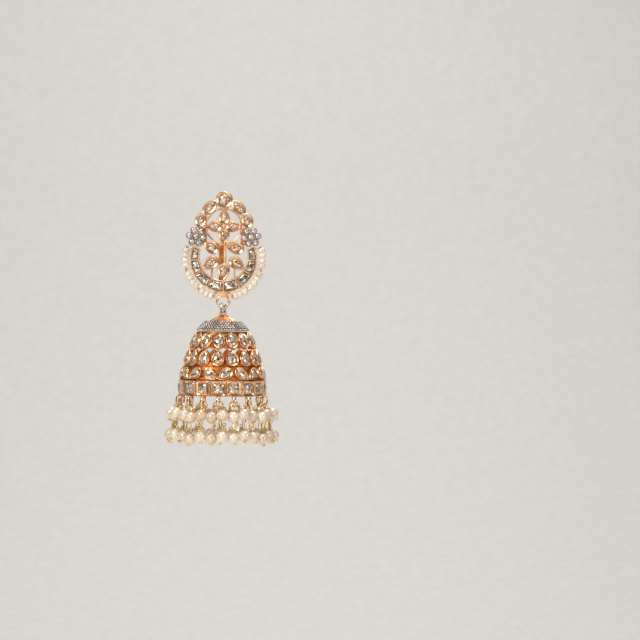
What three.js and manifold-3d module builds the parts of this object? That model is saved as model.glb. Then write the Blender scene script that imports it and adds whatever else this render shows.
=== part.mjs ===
// Jhumka earring: an openwork stud, a bail link, and a stone-set bell with two tiers of pearls.
// Millimetres, +Z up, the front faces -Y. The origin is where the ear post leaves the back of the stud.

import * as THREE from "three";
import Module from "manifold-3d";
import { mergeVertices } from "three/addons/utils/BufferGeometryUtils.js";

const wasm = await Module();
wasm.setup();

// Clearances.
const PIECE_GAP = 0.3; // between metal pieces that touch in the real jewel
const STONE_GAP = 0.1; // between a stone and the wall of its setting
const LINK_GAP = 0.15; // between links that hang in each other

// Stud, in its face plane: across, up, and out towards the viewer.
const STRAP_THICK = 0.9;
const STRAP_WIDE = 2.2;
const STRAP_LEFT = -1.5;
const RIDGE_WIDE = 0.5;
const RIDGE_HIGH = 0.4;
const BAR = { wide: 0.55, side: 2.2, back: 0.5, thick: 0.6 }; // side: the broad ones beside the ring
const SETTING_BACK = 0.75;
const SETTING_FRONT = 2.0;
const SETTING_WALL = 0.38;
const SETTING_FLOOR = 0.4;
const STONE_RISE = 0.6; // table over the setting's rim
const TABLE_SHARE = 0.55; // table over girdle

const RING_UP = 9.0;
const RING_RADIUS = 5.6;
const RING_WIRE = 0.45;
const RING_OUT = 1.3;
const RING_LAP = 0.12; // how far the settings round the ring reach into it
const TOP_STONE_ACROSS = 5.0;
// Flank stones lie against the ring, each at its angle from the top and with its own lean.
const UPPER_FLANK = { angle: 37.4, long: 5.9, wide: 3.3, lean: 46 };
const LOWER_FLANK = { angle: 75.2, long: 4.8, wide: 3.4, lean: 15 };
const UPPER_PETAL = { long: 4.7, wide: 3.5, hub: 0.62 };
const LOWER_PETAL = { long: 5.1, wide: 3.9 };
const HUB_BALL = 1.6;

const CRESCENT_RADIUS = 10.1;
const CRESCENT_DROP = 0.87; // its outer circle's centre under the inner circle's
const CRESCENT_INNER = 7.2;
const CRESCENT_WALL = 0.42;
const CRESCENT_END = 112; // degrees each way from straight down
const CELL_EDGES = [0, 0.268, 0.545, 0.786, 1]; // shares of CRESCENT_END

const CLUSTER = { out: 8.2, up: 5.8, ring: 2.07, turn: 9, count: 6, plate: 0.5 };
const CUP = { across: 2.12, high: 1.05, centreHigh: 1.3, centreBack: 0.1, rise: 0.4 };
const CUP_SHARES = { rim: 0.78, table: 0.42 };

const BEAD = { wide: 2.3, long: 1.58, seats: 0.65, wire: 0.5, clear: 0.35 }; // clear: of the crescent
const BEAD_TOUCH = 1.15; // bead lengths from centre to centre, up to which two beads touch
const BEAD_LEAD = 0.3; // degrees over which a bead's seat narrows to the wire
const BEAD_ANGLES = [18.5, 26, 33.5, 45, 52.5, 60, 67.5, 81, 88.5, 96, 103.5];
const PEG_ANGLES = [39.25, 74.25];
const PEG_THICK = 0.6;

const BRACKET = { wide: 4.3, high: 1.15, thick: 1.2, lap: 0.2 };
const STIRRUP = { wide: 4.3, high: 4.13, wire: 0.8, lap: 0.55 };
const HANG_OUT = 1.2; // hanging plane in front of the origin

const POST = { thick: 0.9, long: 11, flange: 1.4, flangeThick: 0.5 };

// Bail link and the eye of the bell's cap.
const BAIL = { wire: 0.6, broad: 1.7, wide: 2.6, long: 3.22 }; // broad: its front and back, from side to side
const EYE = { wire: 0.5, hole: 0.95, lap: 0.12 };

// Bell: each part's height, and the radii of its outline.
const CAP = { high: 3.03, wall: 0.55, neck: 0.55, neckHigh: 0.25 };
// Outlines of the cap and the pave band above their feet, as shares of their radius and height.
const CAP_LINE = [
  { out: 1, up: 0 },
  { out: 0.804, up: 0.3135 },
  { out: 0.625, up: 0.5446 },
  { out: 0.411, up: 0.769 },
  { out: 0.223, up: 0.914 },
  { out: 0.143, up: 1 },
];
// The pave band reaches over past the cap's edge, and its skirt hangs below it.
const PAVE = { radius: 7.95, high: 2.8, wall: 0.65, drop: 0.1, over: 2.35, skirt: 1.45 };
const PAVE_LINE = [
  { out: 1, up: 0 },
  { out: 0.906, up: 0.357 },
  { out: 0.792, up: 0.679 },
  { out: 0.654, up: 1 },
];
const BELL_SETTING = { deep: 0.95, wall: 0.42, rise: 0.35 };
const HOOP = { thick: 0.5, high: 1.0, sunk: 0.45 };

// Rows of settings. Each row starts ROW_STEP outside the foot of the one above it.
const MARQUISE_ROW = {
  count: 14, first: -4.7, shape: "marquise", long: 5.3, lift: 0, high: 5.0, radius: 10.25,
};
const PEAR_ROW = {
  count: 16, first: -5, shape: "pear", long: 5.0, lift: 0, high: 4.75, radius: 11.95,
};
const PAIR_ROW = {
  count: 16, first: 7.1, shape: "pear", long: 5.0, wide: 3.6, lift: -0.34, high: 3.75, inset: 0.25,
};
const ROW_STEP = 0.05;
const ROW_LAP = 0.2; // how far neighbours in the upper two rows meet at their backs
const PAIR_TURN = 126;
const PAIR_SHIFT = 1.2; // degrees that the two of a pair lean together

const BAND = { high: 4.7, radius: 13.1, deep: 1.1, wall: 0.55, edge: 0.35 };
const SQUARES = { count: 17, wide: 4.25, high: 4.25, inset: 0.15, deep: 0.8, rise: 0.5, first: -2.9 };
// The steps of a square stone, as shares of its width and of its rise.
const SQUARE_SHARES = { middle: 0.7, middleUp: 0.6, table: 0.3 };
const RIM_LOOP = { inset: 0.1, wide: 2.0, high: 3.35, wire: 0.5, lap: 0.12 };
const HANGER = { across: 3.5, wire: 0.4, lean: 21 };
const STEM_THICK = 0.4;

// Pearls, in tiers set out and down from the hangers' lower ends.
const PEARL = 3.5;
const PEARL_SHARES = { flat: 0.2, wide: 0.92, neck: 0.4 };
const TIER = { count: 28, first: 3 };
const UPPER_TIER = { out: 0.35, down: 0.1 };
const LOWER_TIER = { out: 0.7, down: 6.4 };
// How far each pearl in turn strays from its circle, as shares of STRAY.
const STRAY = 0.6;
const STRAYS = [
  { out: 0.9, up: 0.5 },
  { out: -0.3, up: -0.4 },
  { out: 0.6, up: 0.9 },
  { out: -0.8, up: 0.1 },
  { out: 0.5, up: -0.9 },
  { out: -0.1, up: 0.3 },
  { out: -0.7, up: -0.6 },
];

const SIDES = 10;
const WIRE_SIDES = 6;
const WALL_SIDES = 8;
const SMALL_WIRE = { steps: 8, sides: 4 };

const GOLD = { color: 0xc98a45, roughness: 0.3, metalness: 1 };
const SILVER = { color: 0xb9b5ae, roughness: 0.3, metalness: 1 };
const STONE = { color: 0xdcc6a6, roughness: 0.1, metalness: 0.1 };
const PEARLS = { color: 0xefe2c4, roughness: 0.35, metalness: 0 };
const BEADS = { color: 0xe9d9bd, roughness: 0.4, metalness: 0 };

const earring = new THREE.Group();
const rad = THREE.MathUtils.degToRad;

function solid(points, faces) {
  const mesh = new wasm.Mesh({
    numProp: 3,
    vertProperties: new Float32Array(points.flatMap((p) => p.toArray())),
    triVerts: new Uint32Array(faces),
  });
  return new wasm.Manifold(mesh);
}

function solidFrom(geometry) {
  geometry.deleteAttribute("normal");
  geometry.deleteAttribute("uv");
  const g = mergeVertices(geometry, 1e-4);
  const points = [];
  for (let i = 0; i < g.attributes.position.count; i++) {
    points.push(new THREE.Vector3().fromBufferAttribute(g.attributes.position, i));
  }
  return solid(points, g.index.array);
}

function union(solids) {
  return wasm.Manifold.union(solids);
}

// Adds a named mesh to the earring.
function piece(name, made, look) {
  const mesh = made.getMesh();
  const g = new THREE.BufferGeometry();
  g.setAttribute("position", new THREE.BufferAttribute(mesh.vertProperties, 3));
  g.setIndex(new THREE.BufferAttribute(mesh.triVerts, 1));
  g.computeVertexNormals();
  const m = new THREE.Mesh(g, new THREE.MeshStandardMaterial(look));
  m.name = name;
  earring.add(m);
}

// The side walls between rings of n points that follow one another.
function walls(count, n, around) {
  const faces = [];
  for (let r = 0; r < count; r++) {
    const next = ((r + 1) % around) * n;
    for (let i = 0; i < n; i++) {
      const j = (i + 1) % n;
      faces.push(r * n + i, r * n + j, next + j, r * n + i, next + j, next + i);
    }
  }
  return faces;
}

// A closed solid through rings of points, from back to front.
function loft(rings) {
  const n = rings[0].length;
  const faces = walls(rings.length - 1, n, rings.length);
  const last = (rings.length - 1) * n;
  for (let i = 1; i + 1 < n; i++) {
    faces.push(0, i + 1, i, last, last + i, last + i + 1);
  }
  return solid(rings.flat(), faces);
}

// The same, where the last ring meets the first.
function loop(rings) {
  return solid(rings.flat(), walls(rings.length, rings[0].length, rings.length));
}

// Anticlockwise outline of a stone, its tip or long axis upwards.
function outline(shape, long, wide, sides) {
  const points = [];
  for (let i = 0; i < sides; i++) {
    const t = (2 * Math.PI * i) / sides;
    if (shape === "round") {
      points.push([-0.5 * wide * Math.sin(t), 0.5 * long * Math.cos(t)]);
    } else if (shape === "pear") {
      const belly = 1.13 * Math.sin(t) * Math.pow(Math.sin(t / 2), 0.7);
      points.push([-0.5 * wide * belly, 0.5 * long * Math.cos(t)]);
    } else if (shape === "marquise") {
      const a = long / 2;
      const b = wide / 2;
      const arc = (a * a + b * b) / (2 * b);
      const half = Math.asin(a / arc);
      const share = i <= sides / 2 ? 1 - (4 * i) / sides : (4 * i) / sides - 3;
      const side = i <= sides / 2 ? -1 : 1;
      const bow = Math.max(arc * Math.cos(half * share) - arc + b, 0);
      points.push([side * bow, arc * Math.sin(half * share)]);
    } else {
      const corner = t + Math.PI / 4;
      const reach = Math.SQRT1_2;
      points.push([-reach * wide * Math.sin(corner), reach * long * Math.cos(corner)]);
    }
  }
  return points;
}

function ringAt(place, points, out, share = 1) {
  const cx = points.reduce((s, p) => s + p[0], 0) / points.length;
  const cy = points.reduce((s, p) => s + p[1], 0) / points.length;
  return points.map(([x, y]) =>
    new THREE.Vector3(cx + (x - cx) * share, cy + (y - cy) * share, out).applyMatrix4(place),
  );
}

function prism(place, points, back, front) {
  return loft([ringAt(place, points, back), ringAt(place, points, front)]);
}

function box(place, left, right, low, high, back, front) {
  return prism(place, [[left, low], [right, low], [right, high], [left, high]], back, front);
}

// An oval wire loop in the plane of its place, as broad as wanted except at its lowest point.
function wireLoop(place, wide, high, wire, { steps, sides }, broad = wire) {
  const a = (wide - wire) / 2;
  const b = (high - wire) / 2;
  const rings = [];
  for (let i = 0; i < steps; i++) {
    const t = (2 * Math.PI * i) / steps;
    const normal = new THREE.Vector3(b * Math.cos(t), a * Math.sin(t), 0).normalize();
    const centre = new THREE.Vector3(a * Math.cos(t), b * Math.sin(t), 0);
    const swell = THREE.MathUtils.smoothstep(Math.sin(t), -1, 0);
    const section = outline("round", wire, wire + (broad - wire) * swell, sides);
    rings.push(
      section.map(([x, y]) =>
        new THREE.Vector3(0, 0, x).addScaledVector(normal, y).add(centre).applyMatrix4(place),
      ),
    );
  }
  return loop(rings);
}

function rod(from, to, thick, sides = WIRE_SIDES) {
  const along = new THREE.Vector3().subVectors(to, from);
  const turn = new THREE.Quaternion().setFromUnitVectors(
    new THREE.Vector3(0, 0, 1),
    along.clone().normalize(),
  );
  const place = new THREE.Matrix4().makeRotationFromQuaternion(turn).setPosition(from);
  return prism(place, outline("round", thick, thick, sides), 0, along.length());
}

function ball(centre, across, sides, bands) {
  const g = new THREE.SphereGeometry(across / 2, sides, bands);
  return solidFrom(g.rotateX(Math.PI / 2).translate(centre.x, centre.y, centre.z));
}

// A solid of revolution about the bell's axis; its line runs up the outside.
function turned(line, segments, first = 0) {
  const points = line.map((p) => new THREE.Vector2(p.radius, p.z));
  const g = new THREE.LatheGeometry(points, segments, rad(first));
  return solidFrom(g.rotateX(Math.PI / 2).translate(0, -HANG_OUT, 0));
}

// Turns a ring so that it faces along the string instead of outwards.
const ALONG = new THREE.Matrix4().makeRotationY(Math.PI / 2);

// A place on the stud's face: across, up, out, turned anticlockwise as seen from the front.
function onFace(across, up, turn = 0, out = 0) {
  return new THREE.Matrix4()
    .makeRotationX(Math.PI / 2)
    .multiply(new THREE.Matrix4().makeTranslation(across, up, out))
    .multiply(new THREE.Matrix4().makeRotationZ(rad(turn)));
}

// A place on the bell: degrees from the front towards the right, radius, height, and the tilt of its face.
function onBell(angle, radius, z, tilt = 0) {
  const a = rad(angle);
  const t = rad(tilt);
  const out = new THREE.Vector3(Math.sin(a), -Math.cos(a), 0);
  const across = new THREE.Vector3(Math.cos(a), Math.sin(a), 0);
  const up = new THREE.Vector3(0, 0, 1);
  const normal = out.clone().multiplyScalar(Math.cos(t)).addScaledVector(up, Math.sin(t));
  const slope = up.clone().multiplyScalar(Math.cos(t)).addScaledVector(out, -Math.sin(t));
  const at = out.multiplyScalar(radius).add(new THREE.Vector3(0, -HANG_OUT, z));
  return new THREE.Matrix4().makeBasis(across, slope, normal).setPosition(at);
}

// Stud settings: each gives metal, the pocket cut from it and the stone in it.
const metal = [];
const pockets = [];
const pocketFloor = SETTING_BACK + SETTING_FLOOR;
const pocketTop = SETTING_FRONT + STONE_RISE;

function setStone(name, place, outer, pocket, girdle) {
  metal.push(prism(place, outer, SETTING_BACK, SETTING_FRONT));
  pockets.push(prism(place, pocket, pocketFloor, pocketTop));
  stoneIn(name, place, girdle);
}

function stoneIn(name, place, girdle) {
  const stone = loft([
    ringAt(place, girdle, pocketFloor + STONE_GAP),
    ringAt(place, girdle, SETTING_FRONT),
    ringAt(place, girdle, SETTING_FRONT + STONE_RISE, TABLE_SHARE),
  ]);
  piece(name, stone, STONE);
}

function setShape(name, place, shape, long, wide, sides = SIDES) {
  const inset = [0, 2 * SETTING_WALL, 2 * (SETTING_WALL + STONE_GAP)];
  const lines = inset.map((s) => outline(shape, long - s, wide - s, sides));
  setStone(name, place, ...lines);
}

const topStoneUp = RING_UP + RING_RADIUS + TOP_STONE_ACROSS / 2 - RING_LAP;
setShape("top_stone", onFace(0, topStoneUp), "round", TOP_STONE_ACROSS, TOP_STONE_ACROSS, 12);

const FLANKS = { upper: UPPER_FLANK, lower: LOWER_FLANK };
for (const [row, { angle, long, wide, lean }] of Object.entries(FLANKS)) {
  const reach = RING_RADIUS + wide / 2 - RING_LAP;
  const out = reach * Math.sin(rad(angle));
  const up = RING_UP + reach * Math.cos(rad(angle));
  setShape("flank_stone_" + row + "_left", onFace(-out, up, -lean), "marquise", long, wide, WALL_SIDES);
  setShape("flank_stone_" + row + "_right", onFace(out, up, lean), "marquise", long, wide, WALL_SIDES);
}

const RING_PETALS = { top: 0, left: 90, bottom: 180, right: 270 };
const petalOut = UPPER_PETAL.hub + UPPER_PETAL.long / 2;
for (const [side, turn] of Object.entries(RING_PETALS)) {
  const across = -petalOut * Math.sin(rad(turn));
  const up = RING_UP + petalOut * Math.cos(rad(turn));
  const place = onFace(across, up, turn);
  setShape("ring_petal_stone_" + side, place, "pear", UPPER_PETAL.long, UPPER_PETAL.wide);
}

// Petals of the lower flower: their centres as shares of the crescent's inner radius, their sizes as
// shares of LOWER_PETAL.
const LOWER_PETALS = [
  { name: "upper_left", across: -0.5375, up: 0.396, turn: 57, long: 0.96, wide: 0.975 },
  { name: "upper_right", across: 0.486, up: 0.347, turn: 84, long: 1, wide: 0.975 },
  { name: "lower_left", across: -0.556, up: -0.299, turn: 126, long: 1.02, wide: 1 },
  { name: "lower_right", across: 0.556, up: -0.299, turn: -126, long: 1.02, wide: 1 },
  { name: "bottom", across: 0, up: -0.639, turn: 180, long: 1, wide: 1 },
];
for (const { name, across, up, turn, long, wide } of LOWER_PETALS) {
  const place = onFace(across * CRESCENT_INNER, up * CRESCENT_INNER, turn);
  setShape("flower_petal_stone_" + name, place, "pear", long * LOWER_PETAL.long, wide * LOWER_PETAL.wide);
}

// A point of the crescent: degrees from straight down towards the right, on its outer or inner edge.
function crescentOuter(angle, inset) {
  const a = rad(angle);
  const r = CRESCENT_RADIUS - inset;
  return [r * Math.sin(a), -CRESCENT_DROP - r * Math.cos(a)];
}

function crescentInner(angle, inset) {
  const a = rad(angle);
  // The inner circle, met along the same ray from the outer centre.
  const r = CRESCENT_INNER + inset;
  const along = -CRESCENT_DROP * Math.cos(a);
  const reach = along + Math.sqrt(r * r - (CRESCENT_DROP * Math.sin(a)) ** 2);
  return [reach * Math.sin(a), -CRESCENT_DROP - reach * Math.cos(a)];
}

function crescentPart(from, to, steps, inset, trim) {
  const outerTrim = THREE.MathUtils.radToDeg(trim / CRESCENT_RADIUS);
  const innerTrim = THREE.MathUtils.radToDeg(trim / (CRESCENT_INNER + CRESCENT_DROP));
  const outer = [];
  const inner = [];
  for (let i = 0; i <= steps; i++) {
    const share = i / steps;
    const a = from + outerTrim + (to - from - 2 * outerTrim) * share;
    const b = from + innerTrim + (to - from - 2 * innerTrim) * share;
    outer.push(crescentOuter(a, inset));
    inner.push(crescentInner(b, inset));
  }
  return outer.concat(inner.reverse());
}

const crescentPath = new THREE.Shape(
  crescentPart(-CRESCENT_END, CRESCENT_END, 24, 0, 0).map(([x, y]) => new THREE.Vector2(x, y)),
);
const crescent = new THREE.ExtrudeGeometry(crescentPath, {
  depth: SETTING_FRONT - SETTING_BACK,
  bevelEnabled: false,
});
metal.push(solidFrom(crescent.applyMatrix4(onFace(0, 0, 0, SETTING_BACK))));
for (let i = 0; i + 1 < CELL_EDGES.length; i++) {
  for (const [side, sign] of [["left", -1], ["right", 1]]) {
    const edges = [CELL_EDGES[i], CELL_EDGES[i + 1]].map((s) => sign * s * CRESCENT_END);
    const [from, to] = edges.sort((a, b) => a - b);
    const pocket = crescentPart(from, to, 3, CRESCENT_WALL, CRESCENT_WALL / 2);
    const trim = CRESCENT_WALL / 2 + STONE_GAP;
    const girdle = crescentPart(from, to, 3, CRESCENT_WALL + STONE_GAP, trim);
    pockets.push(prism(onFace(0, 0), pocket, pocketFloor, pocketTop));
    stoneIn("crescent_stone_" + side + "_" + (i + 1), onFace(0, 0), girdle);
  }
}

// The bead strings follow the crescent's outer circle.
const beadPath = CRESCENT_RADIUS + BEAD.wide / 2 + BEAD.clear;

// Ring round the upper flower, hub ball, strap, bars, cluster plates and pegs.
const face = onFace(0, 0);
const ringTube = 2 * RING_RADIUS;
const ringPlace = onFace(0, RING_UP, 0, RING_OUT);
metal.push(wireLoop(ringPlace, ringTube, ringTube, RING_WIRE, { steps: 28, sides: 5 }));
metal.push(ball(new THREE.Vector3(0, -SETTING_FRONT, RING_UP), HUB_BALL, 8, 4));
const strapRight = STRAP_LEFT + STRAP_WIDE;
const strapTop = RING_UP - RING_RADIUS + RING_WIRE;
const strapLow = -CRESCENT_INNER - CRESCENT_WALL;
metal.push(box(face, STRAP_LEFT, strapRight, strapLow, strapTop, 0, STRAP_THICK));
const ridgeFront = STRAP_THICK + RIDGE_HIGH;
const ridgeLeft = strapRight - RIDGE_WIDE;
metal.push(box(face, ridgeLeft, strapRight, strapLow, strapTop, STRAP_THICK / 2, ridgeFront));

// Bars: their middles and ends as shares of the crescent's inner radius.
const BARS = [
  { across: -0.486, low: -0.958, high: -0.417, wide: BAR.wide },
  { across: 0.458, low: -0.958, high: -0.417, wide: BAR.wide },
  { across: -0.833, low: 0.444, high: 1.194, wide: BAR.side },
  { across: 0.833, low: 0.444, high: 1.194, wide: BAR.side },
];
const barFront = BAR.back + BAR.thick;
for (const { across, low, high, wide } of BARS) {
  const left = across * CRESCENT_INNER - wide / 2;
  const ends = [low * CRESCENT_INNER, high * CRESCENT_INNER];
  metal.push(box(face, left, left + wide, ...ends, BAR.back, barFront));
}

for (const sign of [-1, 1]) {
  const pad = outline("round", 2 * CLUSTER.ring, 2 * CLUSTER.ring, 12);
  metal.push(prism(onFace(sign * CLUSTER.out, CLUSTER.up), pad, BAR.back, barFront));
  for (const angle of PEG_ANGLES) {
    const a = rad(sign * angle);
    const point = (r) =>
      new THREE.Vector3(r * Math.sin(a), -HANG_OUT, -CRESCENT_DROP - r * Math.cos(a));
    const end = beadPath - BEAD.wire / 2 - LINK_GAP;
    metal.push(rod(point(CRESCENT_RADIUS - CRESCENT_WALL / 2), point(end), PEG_THICK));
  }
}

// Bracket and stirrup loop.
const bracketTop = BRACKET.lap - CRESCENT_RADIUS - CRESCENT_DROP;
const bracketLow = bracketTop - BRACKET.high;
const bracketBack = HANG_OUT - BRACKET.thick / 2;
const half = BRACKET.wide / 2;
metal.push(box(face, -half, half, bracketLow, bracketTop, bracketBack, bracketBack + BRACKET.thick));
const stirrupUp = bracketLow - STIRRUP.high / 2 + STIRRUP.lap;
const stirrupPlace = onFace(0, stirrupUp, 0, HANG_OUT);
const LINK_WIRE = { steps: 16, sides: 6 };
metal.push(wireLoop(stirrupPlace, STIRRUP.wide, STIRRUP.high, STIRRUP.wire, LINK_WIRE));

piece("stud_frame", union(metal).subtract(union(pockets)), GOLD);

// Ear post: a flange on the strap's back and a straight pin.
const postStart = new THREE.Vector3(0, PIECE_GAP, 0);
const flangeEnd = new THREE.Vector3(0, PIECE_GAP + POST.flangeThick, 0);
const postEnd = new THREE.Vector3(0, POST.long, 0);
const post = rod(postStart, flangeEnd, POST.flange, 12).add(rod(postStart, postEnd, POST.thick, 12));
piece("ear_post", post, GOLD);

// Flower clusters: seven cups with their stones on one small plate.
function cup(place, across, back, front) {
  const rim = outline("round", across, across, 8);
  return loft([
    ringAt(place, rim, back),
    ringAt(place, rim, front),
    ringAt(place, rim, front, CUP_SHARES.rim),
    ringAt(place, rim, front + CUP.rise, CUP_SHARES.table),
  ]);
}

for (const [side, sign] of [["left", -1], ["right", 1]]) {
  const back = barFront + PIECE_GAP;
  const centre = { across: sign * CLUSTER.out, up: CLUSTER.up };
  const plate = outline("round", 2 * CLUSTER.ring, 2 * CLUSTER.ring, 12);
  const middle = onFace(centre.across, centre.up);
  const parts = [prism(middle, plate, back, back + CLUSTER.plate)];
  parts.push(cup(middle, CUP.across, back + CUP.centreBack, back + CUP.centreHigh));
  for (let i = 0; i < CLUSTER.count; i++) {
    const a = rad(sign * CLUSTER.turn + (360 * i) / CLUSTER.count);
    const across = centre.across + CLUSTER.ring * Math.cos(a);
    const up = centre.up + CLUSTER.ring * Math.sin(a);
    parts.push(cup(onFace(across, up), CUP.across, back, back + CUP.high));
  }
  piece("flower_cluster_" + side, union(parts), SILVER);
}

// Seed beads on their wire, one string on each side of the bracket, as one solid through its rings.
const beadTurn = THREE.MathUtils.radToDeg(BEAD.long / 2 / beadPath);
function beadRing(angle, across) {
  const place = onFace(0, -CRESCENT_DROP, angle)
    .multiply(new THREE.Matrix4().makeTranslation(0, -beadPath, HANG_OUT))
    .multiply(ALONG);
  return ringAt(place, outline("round", across, across, SIDES), 0);
}

for (const [side, sign] of [["left", -1], ["right", 1]]) {
  const angles = sign > 0 ? BEAD_ANGLES : BEAD_ANGLES.map((a) => -a).reverse();
  const seat = BEAD.wide * BEAD.seats;
  const rings = [beadRing(angles[0] - beadTurn, seat)];
  angles.forEach((angle, i) => {
    const next = angles[i + 1];
    rings.push(beadRing(angle, BEAD.wide));
    if (next - angle < 2 * beadTurn * BEAD_TOUCH) {
      rings.push(beadRing((angle + next) / 2, seat));
    } else {
      rings.push(beadRing(angle + beadTurn, seat));
      if (next) {
        rings.push(beadRing(angle + beadTurn + BEAD_LEAD, BEAD.wire));
        rings.push(beadRing(next - beadTurn - BEAD_LEAD, BEAD.wire));
        rings.push(beadRing(next - beadTurn, seat));
      }
    }
  });
  piece("seed_beads_" + side, loft(rings), BEADS);
}

// Bail link: it hangs on the stirrup's lowest wire and holds the eye of the cap.
const stirrupLow = stirrupUp - (STIRRUP.high - STIRRUP.wire) / 2;
const bailTop = stirrupLow + STIRRUP.wire / 2 + LINK_GAP + BAIL.wire;
const bailPlace = onFace(0, bailTop - BAIL.long / 2, 0, HANG_OUT).multiply(ALONG);
piece("bail_link", wireLoop(bailPlace, BAIL.wide, BAIL.long, BAIL.wire, LINK_WIRE, BAIL.broad), SILVER);

// Cap with its neck and its eye, whose centre lies on the bail's lowest wire.
const eyeUp = bailTop - BAIL.long + BAIL.wire / 2;
const eyeAcross = EYE.hole + 2 * EYE.wire;
const capTop = eyeUp - eyeAcross / 2 + EYE.lap;
const capFoot = capTop - CAP.high;
const sized = (line, radius, foot, high) =>
  line.map(({ out, up }) => ({ radius: out * radius, z: foot + up * high }));
const capRadius = PAVE.radius - PAVE.over;
const capOutside = sized(CAP_LINE, capRadius, capFoot, CAP.high);
const capLine = [
  { radius: 0, z: capOutside[3].z - CAP.wall },
  { radius: capOutside[2].radius, z: capOutside[2].z - CAP.wall },
  { radius: capRadius - CAP.wall, z: capFoot - CAP.wall / 2 },
  ...capOutside,
  { radius: CAP.neck, z: capTop + CAP.neckHigh },
  { radius: 0, z: capTop + CAP.neckHigh },
];
const eye = wireLoop(onFace(0, eyeUp, 0, HANG_OUT), eyeAcross, eyeAcross, EYE.wire, { steps: 12, sides: 6 });
piece("bell_cap", turned(capLine, 20).add(eye), GOLD);

// Pave band over the cap's edge.
const paveFoot = capFoot - PAVE.skirt;
const paveOutside = sized(PAVE_LINE, PAVE.radius, paveFoot, PAVE.high);
const paveUnder = paveOutside.map(({ radius, z }) => ({ radius: radius - PAVE.wall, z: z - PAVE.drop }));
paveUnder[0].z = paveFoot;
piece("pave_band", turned([...paveOutside, ...paveUnder.reverse(), paveOutside[0]], 24), SILVER);

// A row of settings with their stones round the bell, soldered to one hoop behind them. The hoop's top lies
// hoopDown under the row's top.
function stoneRow(name, row, top, hoopDown, turnOf, shiftOf) {
  const slope = (row.radius - row.topRadius) / row.high;
  const tilt = THREE.MathUtils.radToDeg(Math.atan(slope));
  const midRadius = (row.topRadius + row.radius) / 2;
  const parts = [];
  for (let i = 0; i < row.count; i++) {
    const angle = row.first + (360 * i) / row.count + shiftOf(i);
    const place = onBell(angle, midRadius, top - row.high / 2, tilt)
      .multiply(new THREE.Matrix4().makeTranslation(0, row.lift, 0))
      .multiply(new THREE.Matrix4().makeRotationZ(rad(turnOf(i))));
    const inner = 2 * BELL_SETTING.wall;
    const outer = outline(row.shape, row.long, row.wide, WALL_SIDES);
    const girdle = outline(row.shape, row.long - inner, row.wide - inner, WALL_SIDES);
    parts.push(
      loft([
        ringAt(place, outer, -BELL_SETTING.deep),
        ringAt(place, outer, 0),
        ringAt(place, girdle, 0),
        ringAt(place, girdle, BELL_SETTING.rise, TABLE_SHARE),
      ]),
    );
  }
  const hoopTop = top - hoopDown;
  const hoopBottom = hoopTop - HOOP.high;
  const radiusAt = (z) => row.topRadius + slope * (top - z) - HOOP.sunk;
  const hoopLine = [
    { radius: radiusAt(hoopBottom) - HOOP.thick, z: hoopBottom },
    { radius: radiusAt(hoopBottom), z: hoopBottom },
    { radius: radiusAt(hoopTop), z: hoopTop },
    { radius: radiusAt(hoopTop) - HOOP.thick, z: hoopTop },
    { radius: radiusAt(hoopBottom) - HOOP.thick, z: hoopBottom },
  ];
  parts.push(turned(hoopLine, row.count, row.first + 180 / row.count));
  piece(name, union(parts), GOLD);
}

const none = () => 0;
const marquiseTop = paveFoot - PIECE_GAP;
const pearTop = marquiseTop - MARQUISE_ROW.high - PIECE_GAP;
const pairTop = pearTop - PEAR_ROW.high - PIECE_GAP;
function touching(row, topRadius) {
  const backRadius = (topRadius + row.radius) / 2 - BELL_SETTING.deep;
  return { ...row, topRadius, wide: 2 * backRadius * Math.sin(Math.PI / row.count) + ROW_LAP };
}
stoneRow("marquise_row", touching(MARQUISE_ROW, PAVE.radius), marquiseTop, 0, none, none);
const pearRow = touching(PEAR_ROW, MARQUISE_ROW.radius + ROW_STEP);
stoneRow("pear_row", pearRow, pearTop, PEAR_ROW.high - HOOP.high, none, none);
const pairSign = (i) => (i % 2 ? -1 : 1);
const pairRadii = { topRadius: PEAR_ROW.radius + ROW_STEP, radius: BAND.radius - PAIR_ROW.inset };
stoneRow(
  "paired_pear_row",
  { ...PAIR_ROW, ...pairRadii },
  pairTop,
  0,
  (i) => pairSign(i) * PAIR_TURN,
  (i) => -pairSign(i) * PAIR_SHIFT,
);

// Square band: a wall with raised edges, square stones on it and a rim loop under each.
const bandTop = pairTop - PAIR_ROW.high - PIECE_GAP;
const bandLow = bandTop - BAND.high;
const bore = BAND.radius - BAND.deep;
const bandWall = bore + BAND.wall;
const bandLine = [
  { radius: bore, z: bandLow },
  { radius: BAND.radius, z: bandLow },
  { radius: BAND.radius, z: bandLow + BAND.edge },
  { radius: bandWall, z: bandLow + BAND.edge },
  { radius: bandWall, z: bandTop - BAND.edge },
  { radius: BAND.radius, z: bandTop - BAND.edge },
  { radius: BAND.radius, z: bandTop },
  { radius: bore, z: bandTop },
  { radius: bore, z: bandLow },
];
const band = [turned(bandLine, SQUARES.count, SQUARES.first + 180 / SQUARES.count)];
const fringe = [];
const squareFace = BAND.radius - SQUARES.inset;
const loopRadius = BAND.radius - RIM_LOOP.inset;
const loopUp = bandLow + RIM_LOOP.lap - RIM_LOOP.high / 2;
const hangerTop = loopUp - RIM_LOOP.high / 2 + RIM_LOOP.wire + LINK_GAP + HANGER.wire / 2;
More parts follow.
